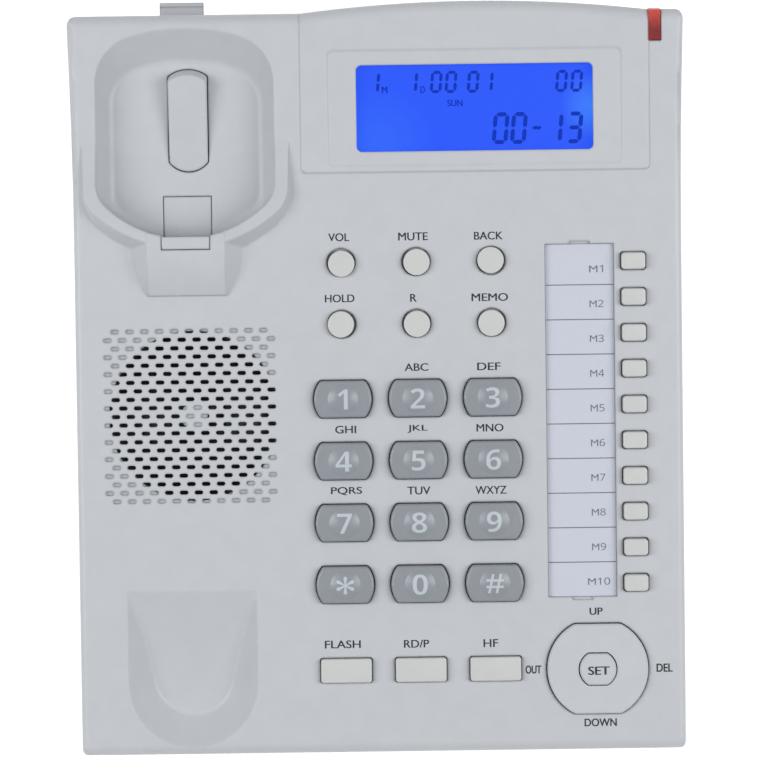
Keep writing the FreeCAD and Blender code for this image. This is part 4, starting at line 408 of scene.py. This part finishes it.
def dome_levels(radius, height, top, steps=12):
    """Levels of a dome on top, up to a tiny flat in its middle."""
    reaches = [radius * (1 - step / steps) for step in range(steps)] + [DOME_FLAT]
    return [(reach - radius, top + dome_height(reach, radius, height)) for reach in reaches]


FLANGE_GAP = 0.85
FLANGE_THICK = 1.0
FLANGE_BASE = deck_span("keypad_membrane")[1].z + FLANGE_GAP
FLANGE_TOP = FLANGE_BASE + FLANGE_THICK
STEM = circle(radius=2.0, steps=24)
DOME_STEPS = 64
DOME_FLAT = 0.02
DOME_ROOT = 0.3


def key_cap(node, outline, top, edge, lip, material, shift=(0, 0), dome=None):
    """Key with a rounded cap, the flange that holds it under the deck and a stem below.

    The cap stands shift off its hole's centre, and that place is given back."""
    low, high = deck_span(node)
    hole = ((low.x + high.x) / 2, (low.y + high.y) / 2)
    centre = (hole[0] + shift[0], hole[1] + shift[1])
    bm = bmesh.new()
    loft(bm, STEM, [(0, low.z), (0, FLANGE_BASE)], centre)
    loft(bm, outline, [(lip, FLANGE_BASE), (lip, FLANGE_TOP)], hole)
    loft(bm, outline, rounded_levels(FLANGE_TOP, top, edge), centre)
    if dome:
        radius, height = dome
        levels = [(0.0, top - DOME_ROOT)] + dome_levels(radius, height, top)
        loft(bm, circle(radius, DOME_STEPS), levels, centre)
    piece = add_piece(node + "_cap", to_mesh(node + "_cap", bm), material, node)
    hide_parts(node)
    return centre


KEY_LIP = 1.2
MEMORY_LIP = 0.9
NUMBER_EDGE = 0.7
ROUND_EDGE = 0.3
FUNCTION_EDGE = 0.4
MEMORY_EDGE = 0.5
NUMBER_SHAPE = flattened_circle(radius=8.35, half_height=5.3, corner=1.2)
ROUND_SHAPE = circle(radius=3.82, steps=56)
FUNCTION_SHAPE = rounded_rectangle(half_x=7.38, half_y=3.46, corner=0.8)
MEMORY_SHAPE = rounded_rectangle(half_x=3.45, half_y=2.4, corner=1.0)
DOME = (4.4, 0.8)
NUMBER_TOP = deck_span("key_1")[1].z - DOME[1]
key_places = {}
for name in [*map(str, range(10)), "star", "hash"]:
    key_places[name] = key_cap(
        "key_" + name, NUMBER_SHAPE, NUMBER_TOP, NUMBER_EDGE, KEY_LIP, NUMBER, dome=DOME
    )

ROUND_SHIFTS = {
    "volume_button": (0.1, -0.36), "mute_button": (0.16, -0.16), "back_button": (-0.14, 0.14),
    "hold_button": (-0.26, -0.06), "recall_button": (0.08, -0.2), "memo_button": (-0.1, -0.2),
}
FUNCTION_KEYS = ("flash_key", "redial_key", "handsfree_key")
MEMORY_KEYS = [f"memory_key_{number}" for number in range(1, 11)]
light_caps = [(node, ROUND_SHAPE, ROUND_EDGE, KEY_LIP, shift) for node, shift in ROUND_SHIFTS.items()]
light_caps += [(node, FUNCTION_SHAPE, FUNCTION_EDGE, KEY_LIP, (0, 0)) for node in FUNCTION_KEYS]
light_caps += [(node, MEMORY_SHAPE, MEMORY_EDGE, MEMORY_LIP, (0, 0)) for node in MEMORY_KEYS]
for node, shape, edge, lip, shift in light_caps:
    key_cap(node, shape, deck_span(node)[1].z, edge, lip, LIGHT_KEY, shift)


# Housing pieces whose own copies differ a little from the source: lever, stand and bezel

SKIRT_CUTS = [-4.5 - 1.5 * step for step in range(6)]  # heights at which the lever's rear wall may bend
SKIRT_DEPTH = 2.7  # what is that wall, from the lever's rear
SKIRT_DROP = 1.3  # and from its top
TAB_LENGTH = 13  # what is the stand's tab, from the stand's rear
TAB_HALF = 9  # and to each side of the lever's middle
TAB_SHIFT = 2.6
SEAM = 0.2  # what the bezel gains at each of three edges


def own_copy(node, name, body, move):
    """Replaces a CAD node by its own mesh after move has shifted some of its corners, in deck millimetres."""
    bm = bmesh.new()
    bm.from_mesh(nodes[node].data)
    bm.transform(TO_DECK)
    move(bm)
    mesh = bpy.data.meshes.new(name)
    bm.to_mesh(mesh)
    bm.free()
    piece = add_piece(name, mesh, HOUSING, body)
    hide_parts(node)


def round_skirt(bm):
    """Lets the lever's rear wall follow its swing, so that it closes the slot behind it."""
    pivot = TO_DECK @ Vector(joints["hook_lever_hinge"]["pos_m"])
    high = deck_span("hook_switch_lever")[1]
    reach = high.y - pivot.y
    radius = math.hypot(reach, high.z - pivot.z)
    for z in SKIRT_CUTS:
        cut_across(bm, (0, 0, z), (0, 0, 1))
    for vert in bm.verts:
        if vert.co.y > high.y - SKIRT_DEPTH and vert.co.z < high.z - SKIRT_DROP:
            vert.co.y += math.sqrt(radius ** 2 - (vert.co.z - pivot.z) ** 2) - reach


def shift_tab(bm):
    """Moves the stand's rear tab from the lever's middle, left to its place in the photo."""
    tab_x = sum(corner.x for corner in deck_span("hook_switch_lever")) / 2
    rear = max((DECK @ vert.co).y for vert in bm.verts)
    for vert in bm.verts:
        if (DECK @ vert.co).y > rear - TAB_LENGTH * MM and abs(vert.co.x - tab_x) < TAB_HALF:
            vert.co.x -= TAB_SHIFT


def close_seam(bm):
    """Widens the bezel at both sides and its front, for a seam as faint as in the photo."""
    low, high = deck_span("display_bezel")
    middle = (low.x + high.x) / 2
    for vert in bm.verts:
        vert.co.x += SEAM * (vert.co.x - middle) / (high.x - middle)
        vert.co.y -= SEAM * (high.y - vert.co.y) / (high.y - low.y)


own_copy("hook_switch_lever", "lever_shell", "hook_switch_lever", round_skirt)
own_copy("desk_stand", "stand_shell", "desk_stand", shift_tab)
own_copy("display_bezel", "bezel_shell", "base_unit", close_seam)


# Spring contacts in both jacks

CONTACTS = 4
CONTACT_PITCH = 1.02
CONTACT_WIDTH = 0.36
CONTACT_PROFILE = ((0.8, 7.3), (8.0, 4.6), (8.0, 4.3), (0.8, 6.9))


def jack_contacts(node, mouth, inward):
    """Slanted wires under a socket's roof; mouth is the middle of its opening's lower edge.

    The profile's points are (depth from the mouth, height over its lower edge)."""
    across = Vector((-inward.y, inward.x, 0))
    bm = bmesh.new()
    for index in range(CONTACTS):
        middle = (index - (CONTACTS - 1) / 2) * CONTACT_PITCH
        sides = []
        for edge in (-CONTACT_WIDTH / 2, CONTACT_WIDTH / 2):
            foot = mouth + across * (middle + edge)
            corners = [foot + inward * depth + Vector((0, 0, height)) for depth, height in CONTACT_PROFILE]
            sides.append([bm.verts.new(corner) for corner in corners])
        left, right = sides
        bm.faces.new(left)
        bm.faces.new(right[::-1])
        for i in range(len(left)):
            j = (i + 1) % len(left)
            bm.faces.new((left[i], left[j], right[j], right[i]))
    add_piece(node + "_contacts", to_mesh(node + "_contacts", bm), GOLD, "base_unit", smooth=0)


low, high = deck_span("handset_jack")
jack_contacts("handset_jack", Vector((low.x, (low.y + high.y) / 2, low.z)), Vector((1, 0, 0)))
low, high = deck_span("line_jack")
jack_contacts("line_jack", Vector(((low.x + high.x) / 2, high.y, low.z)), Vector((0, -1, 0)))


# Lettering: each label is (text, x, y, width, height, grow), about its middle

SANS_DIGITS = 0x1D7E2
SANS_BOLD_DIGITS = 0x1D7EC
WELD = 0.004
PRINT_THICK = 0.03
PRINT_LIFT = 0.005
CARD_LIFT = 0.002
DOME_LIFT = 0.015


def sans_digits(text, bold):
    """The same text with the built-in font's sans-serif digits, whose 1 has its flag."""
    first = SANS_BOLD_DIGITS if bold else SANS_DIGITS
    return "".join(chr(first + int(letter)) if letter in "0123456789" else letter for letter in text)


def text_mesh(text, width, height, grow=0.0, bold=False):
    """Flat letters about the origin that fill width and height; grow widens their strokes first."""
    curve = bpy.data.curves.new("letters", "FONT")
    curve.body = sans_digits(text, bold)
    curve.size = 10.0
    curve.offset = grow
    curve.resolution_u = 6
    holder = bpy.data.objects.new("letters", curve)
    mesh = bpy.data.meshes.new_from_object(holder)
    bpy.data.objects.remove(holder)
    bpy.data.curves.remove(curve)
    xs = [vert.co.x for vert in mesh.vertices]
    ys = [vert.co.y for vert in mesh.vertices]
    scale_x = width / (max(xs) - min(xs))
    scale_y = height / (max(ys) - min(ys))
    mesh.transform(
        Matrix.Diagonal((scale_x, scale_y, 1, 1))
        @ Matrix.Translation((-(max(xs) + min(xs)) / 2, -(max(ys) + min(ys)) / 2, 0))
    )
    bm = bmesh.new()
    bm.from_mesh(mesh)
    bpy.data.meshes.remove(mesh)
    bmesh.ops.remove_doubles(bm, verts=bm.verts, dist=WELD)
    return bm


def thicken(bm, thick):
    """Gives a flat print its own thickness, so that it is a closed solid."""
    made = bmesh.ops.extrude_face_region(bm, geom=list(bm.faces))
    top = [item for item in made["geom"] if isinstance(item, bmesh.types.BMVert)]
    bmesh.ops.translate(bm, verts=top, vec=(0, 0, thick))


def grid_cut(bm, reach, step):
    """Cuts a flat print along a grid, so that it can follow a curved top."""
    count = int(reach / step)
    for axis in (Vector((1, 0, 0)), Vector((0, 1, 0))):
        for index in range(-count, count + 1):
            cut_across(bm, axis * index * step, axis)


def merge(target, source):
    """Adds one bmesh to another and frees it."""
    scratch = bpy.data.meshes.new("scratch")
    source.to_mesh(scratch)
    source.free()
    target.from_mesh(scratch)
    bpy.data.meshes.remove(scratch)


def print_labels(name, labels, z, material, body, thick=PRINT_THICK, bolder=0.0):
    """One piece of flat lettering; where bolder is given, each label is printed twice, that far apart."""
    bm = bmesh.new()
    for text, x, y, width, height, grow in labels:
        for side in (-1, 1) if bolder else (0,):
            letters = text_mesh(text, width - bolder, height, grow)
            thicken(letters, thick)
            bmesh.ops.translate(letters, verts=letters.verts, vec=(x + side * bolder / 2, y, z))
            merge(bm, letters)
    add_piece(name, to_mesh(name, bm), material, body, smooth=0)


# Figures on the number keys' domes, with their widths and heights

FIGURES = {
    "1": (2.9, 5.8), "2": (4.2, 5.8), "3": (4.1, 5.9), "4": (4.7, 5.8),
    "5": (4.0, 5.8), "6": (4.3, 5.9), "7": (4.3, 5.8), "8": (4.4, 5.9),
    "9": (4.3, 5.9), "0": (4.4, 5.9), "star": (5.2, 5.2), "hash": (5.0, 5.6),
}
SIGNS = {"star": "*", "hash": "#"}
DIGIT_GROW = -0.08
SIGN_GROW = 0.1
for name, (width, height) in FIGURES.items():
    grow = SIGN_GROW if name in SIGNS else DIGIT_GROW
    letters = text_mesh(SIGNS.get(name, name), width, height, grow, bold=True)
    grid_cut(letters, reach=3.2, step=0.4)
    for vert in letters.verts:
        vert.co.z = dome_height(vert.co.xy.length, *DOME) + DOME_LIFT
    thicken(letters, PRINT_THICK)
    bmesh.ops.translate(letters, verts=letters.verts, vec=(*key_places[name], NUMBER_TOP))
    mesh = to_mesh(f"digit_{name}", letters)
    add_piece(f"digit_{name}", mesh, DIGIT_INK, "key_" + name, smooth=30)

# Words printed on the deck, row by row from the rear

DECK_LABELS = [
    ("VOL", -11.25, 42.7, 6.1, 2.3, 0.0), ("MUTE", 10.25, 42.65, 8.6, 2.3, 0.0),
    ("BACK", 32.05, 42.6, 8.35, 2.3, 0.0),
    ("HOLD", -11.2, 25.0, 8.6, 2.25, 0.0), ("R", 10.15, 24.9, 1.95, 2.25, 0.0),
    ("MEMO", 32.25, 24.8, 10.6, 2.25, 0.0),
    ("ABC", 10.75, 4.8, 6.9, 2.2, 0.0), ("DEF", 31.75, 4.75, 6.8, 2.2, 0.0),
    ("GHI", -10.0, -13.05, 6.1, 2.25, 0.0), ("JKL", 10.85, -13.1, 5.85, 2.25, 0.0),
    ("MNO", 31.85, -13.05, 7.85, 2.25, 0.0),
    ("PQRS", -10.0, -30.95, 9.05, 2.4, 0.0), ("TUV", 11.0, -31.05, 6.75, 2.3, 0.0),
    ("WXYZ", 31.95, -31.15, 9.05, 2.3, 0.0),
    ("FLASH", -11.7, -75.6, 10.45, 2.3, 0.0), ("RD/P", 9.75, -75.7, 7.35, 2.3, 0.0),
    ("HF", 31.35, -75.8, 4.3, 2.3, 0.0),
    ("OUT", 43.65, -83.7, 4.65, 2.4, 0.1), ("UP", 62.05, -66.9, 3.85, 2.1, 0.05),
    ("DOWN", 63.05, -99.4, 9.4, 2.3, 0.05), ("DEL", 81.8, -83.65, 4.7, 2.4, 0.1),
]
print_labels("deck_legends", DECK_LABELS, PRINT_LIFT, INK, "base_unit", bolder=0.12)

SET_LABELS = [("SET", 62.55, -83.95, 6.3, 2.45, 0.0)]
set_print = deck_span("set_button")[1].z + PRINT_LIFT
print_labels("set_legend", SET_LABELS, set_print, INK, "set_button", bolder=0.25)

# Index card: ten plain memory numbers with a line between each two

NUMBER_PITCH = 10.1
FIRST_NUMBER_Y = 32.6
LINE_PITCH = 10.08
FIRST_LINE_Y = 28.0
LINE_X = 58.3
LINE_SIZE = (19.6, 0.28, 0.03)
card_top = deck_span("index_card")[1].z
rows = [FIRST_NUMBER_Y - row * NUMBER_PITCH for row in range(10)]
card_numbers = [(f"M{row + 1}", 63.2, y, 4.05, 2.1, 0.0) for row, y in enumerate(rows[:-1])]
card_numbers.append(("M10", 63.1, rows[-1], 6.4, 2.1, 0.0))
bm = bmesh.new()
for row in range(9):
    place = Matrix.Translation((LINE_X, FIRST_LINE_Y - row * LINE_PITCH, card_top + LINE_SIZE[2] / 2))
    bmesh.ops.create_cube(bm, size=1.0, matrix=place @ Matrix.Diagonal((*LINE_SIZE, 1)))
add_piece("card_lines", to_mesh("card_lines", bm), CARD_INK, "base_unit", smooth=0)
print_labels("card_numbers", card_numbers, card_top + CARD_LIFT, CARD_INK, "base_unit")


# Display figures

SEGMENTS = {"0": "abcdef", "1": "bc", "3": "abcdg", "-": "g"}


def segment_figure(bm, text, x, y, width, height, stroke, z, slant=0.09):
    """Slanted seven-segment figure whose box is centred on x, y."""
    right, top = width / 2 - stroke / 2, height / 2 - stroke / 2
    left, bottom = -right, -top
    gap = stroke * 0.12
    ends = {
        "a": ((left, top), (right, top)),
        "g": ((left, 0), (right, 0)),
        "d": ((left, bottom), (right, bottom)),
        "f": ((left, 0), (left, top)), "b": ((right, 0), (right, top)),
        "e": ((left, bottom), (left, 0)), "c": ((right, bottom), (right, 0)),
    }
    for letter in SEGMENTS[text]:
        start, end = Vector(ends[letter][0]), Vector(ends[letter][1])
        along = (end - start).normalized()
        across = Vector((-along.y, along.x)) * stroke / 2
        start, end = start + along * gap, end - along * gap
        tip = along * stroke / 2
        near, far = start + tip, end - tip
        outline = [start, near + across, far + across, end, far - across, near - across]
        bm.faces.new([bm.verts.new((x + point.x + point.y * slant, y + point.y, z)) for point in outline])


LCD_LIFT = 0.01
LCD_THICK = 0.02
NARROW = (3.2, 6.4, 0.9)
SMALL = (3.4, 6.4, 0.9)
LARGE = (4.6, 9.2, 1.2)
DASH = (4.0, 9.2, 1.0)
LCD_FIGURES = (
    ("1", -0.4, 87.3, NARROW), ("1", 10.6, 87.3, NARROW),
    ("0", 17.6, 87.25, SMALL), ("0", 21.9, 87.25, SMALL),
    ("0", 28.3, 87.2, SMALL), ("1", 32.4, 87.2, SMALL),
    ("0", 53.9, 87.1, SMALL), ("0", 58.3, 87.1, SMALL),
    ("0", 36.1, 73.65, LARGE), ("0", 41.4, 73.65, LARGE), ("-", 46.6, 73.65, DASH),
    ("1", 51.8, 73.6, LARGE), ("3", 57.5, 73.6, LARGE),
)
LCD_WORDS = [
    ("M", 2.6, 85.15, 1.7, 2.0, 0.0), ("D", 13.65, 85.1, 1.35, 2.0, 0.0), ("SUN", 22.95, 81.1, 4.5, 1.9, 0.0),
]
lcd_face = deck_span("lcd_module")[1].z + LCD_LIFT
bm = bmesh.new()
for text, x, y, size in LCD_FIGURES:
    segment_figure(bm, text, x, y, *size, z=lcd_face)
thicken(bm, LCD_THICK)
add_piece("lcd_digits", to_mesh("lcd_digits", bm), SEGMENT, "base_unit", smooth=0)
print_labels("lcd_words", LCD_WORDS, lcd_face, SEGMENT, "base_unit", LCD_THICK, bolder=0.15)


# Floor and light

FLOOR_GLOW = 0.5
FLOOR_HALF = 2.5
FLOOR_DROP = 0.0002
LAMP_AIM = Vector((0, 0, 0.03))


def floor_material():
    """White floor that keeps the object's shadow and shows as white to the camera and in reflections."""
    material, tree, out = empty_material("pale_floor")
    diffuse = tree.nodes.new("ShaderNodeBsdfDiffuse")
    diffuse.inputs["Color"].default_value = (0.92, 0.92, 0.92, 1)
    glow = tree.nodes.new("ShaderNodeEmission")
    path = tree.nodes.new("ShaderNodeLightPath")
    seen = path.outputs["Is Camera Ray"]
    for ray in ("Is Glossy Ray", "Is Transmission Ray"):
        add = tree.nodes.new("ShaderNodeMath")
        add.use_clamp = True
        tree.links.new(seen, add.inputs[0])
        tree.links.new(path.outputs[ray], add.inputs[1])
        seen = add.outputs["Value"]
    strength = tree.nodes.new("ShaderNodeMath")
    strength.operation = "MULTIPLY"
    strength.inputs[1].default_value = FLOOR_GLOW
    tree.links.new(seen, strength.inputs[0])
    tree.links.new(strength.outputs["Value"], glow.inputs["Strength"])
    both = tree.nodes.new("ShaderNodeAddShader")
    tree.links.new(diffuse.outputs["BSDF"], both.inputs[0])
    tree.links.new(glow.outputs["Emission"], both.inputs[1])
    tree.links.new(both.outputs["Shader"], out.inputs["Surface"])
    return material


def softbox(name, place, size_x, size_y, watts):
    """Rectangular lamp that faces the telephone."""
    light = bpy.data.lights.new(name, "AREA")
    light.shape = "RECTANGLE"
    light.size = size_x
    light.size_y = size_y
    light.energy = watts
    lamp = bpy.data.objects.new(name, light)
    bpy.context.scene.collection.objects.link(lamp)
    lamp.location = place
    lamp.rotation_mode = "QUATERNION"
    lamp.rotation_quaternion = (Vector(place) - LAMP_AIM).to_track_quat("Z", "Y")


floor_mesh = bpy.data.meshes.new("floor")
floor_corners = [(x * FLOOR_HALF, y * FLOOR_HALF, 0) for x, y in ((-1, -1), (1, -1), (1, 1), (-1, 1))]
floor_mesh.from_pydata(floor_corners, [], [(0, 1, 2, 3)])
floor_mesh.materials.append(floor_material())
floor = bpy.data.objects.new("floor", floor_mesh)
bpy.context.scene.collection.objects.link(floor)
floor.location.z = -FLOOR_DROP

world = bpy.data.worlds.new("studio")
world.use_nodes = True
sky = world.node_tree.nodes["Background"]
sky.inputs["Color"].default_value = (0.98, 0.99, 1.0, 1)
sky.inputs["Strength"].default_value = 0.35
bpy.context.scene.world = world

softbox("left_box", (-0.82, -0.08, 0.95), size_x=0.5, size_y=0.8, watts=6.9)
softbox("right_box", (0.82, -0.1, 0.95), size_x=0.45, size_y=0.8, watts=6.9)


# Camera of the photograph

CAMERA_TARGET = Vector((-0.282, 1.65, 0))
CAMERA_DISTANCE = 1.0
CAMERA_ELEVATION = math.radians(83.5)
CAMERA_ROLL = math.radians(-0.7705)


def photo_camera():
    """Camera nearly overhead, square to the case but for a small roll."""
    back = Vector((0, -math.cos(CAMERA_ELEVATION), math.sin(CAMERA_ELEVATION)))
    up = Vector((0, math.sin(CAMERA_ELEVATION), math.cos(CAMERA_ELEVATION)))
    axis_x = math.cos(CAMERA_ROLL) * RIGHT + math.sin(CAMERA_ROLL) * up
    axis_y = -math.sin(CAMERA_ROLL) * RIGHT + math.cos(CAMERA_ROLL) * up
    place = DECK @ CAMERA_TARGET + back * CAMERA_DISTANCE
    data = bpy.data.cameras.new("photo_camera")
    data.sensor_width = 36.0
    data.lens = 164.08
    data.clip_start = 0.01
    data.clip_end = 20.0
    camera = bpy.data.objects.new("photo_camera", data)
    bpy.context.scene.collection.objects.link(camera)
    turn = Matrix((axis_x, axis_y, back)).transposed()
    camera.matrix_world = Matrix.Translation(place) @ turn.to_4x4()
    bpy.context.scene.camera = camera


photo_camera()
bpy.context.scene.view_settings.view_transform = "Standard"
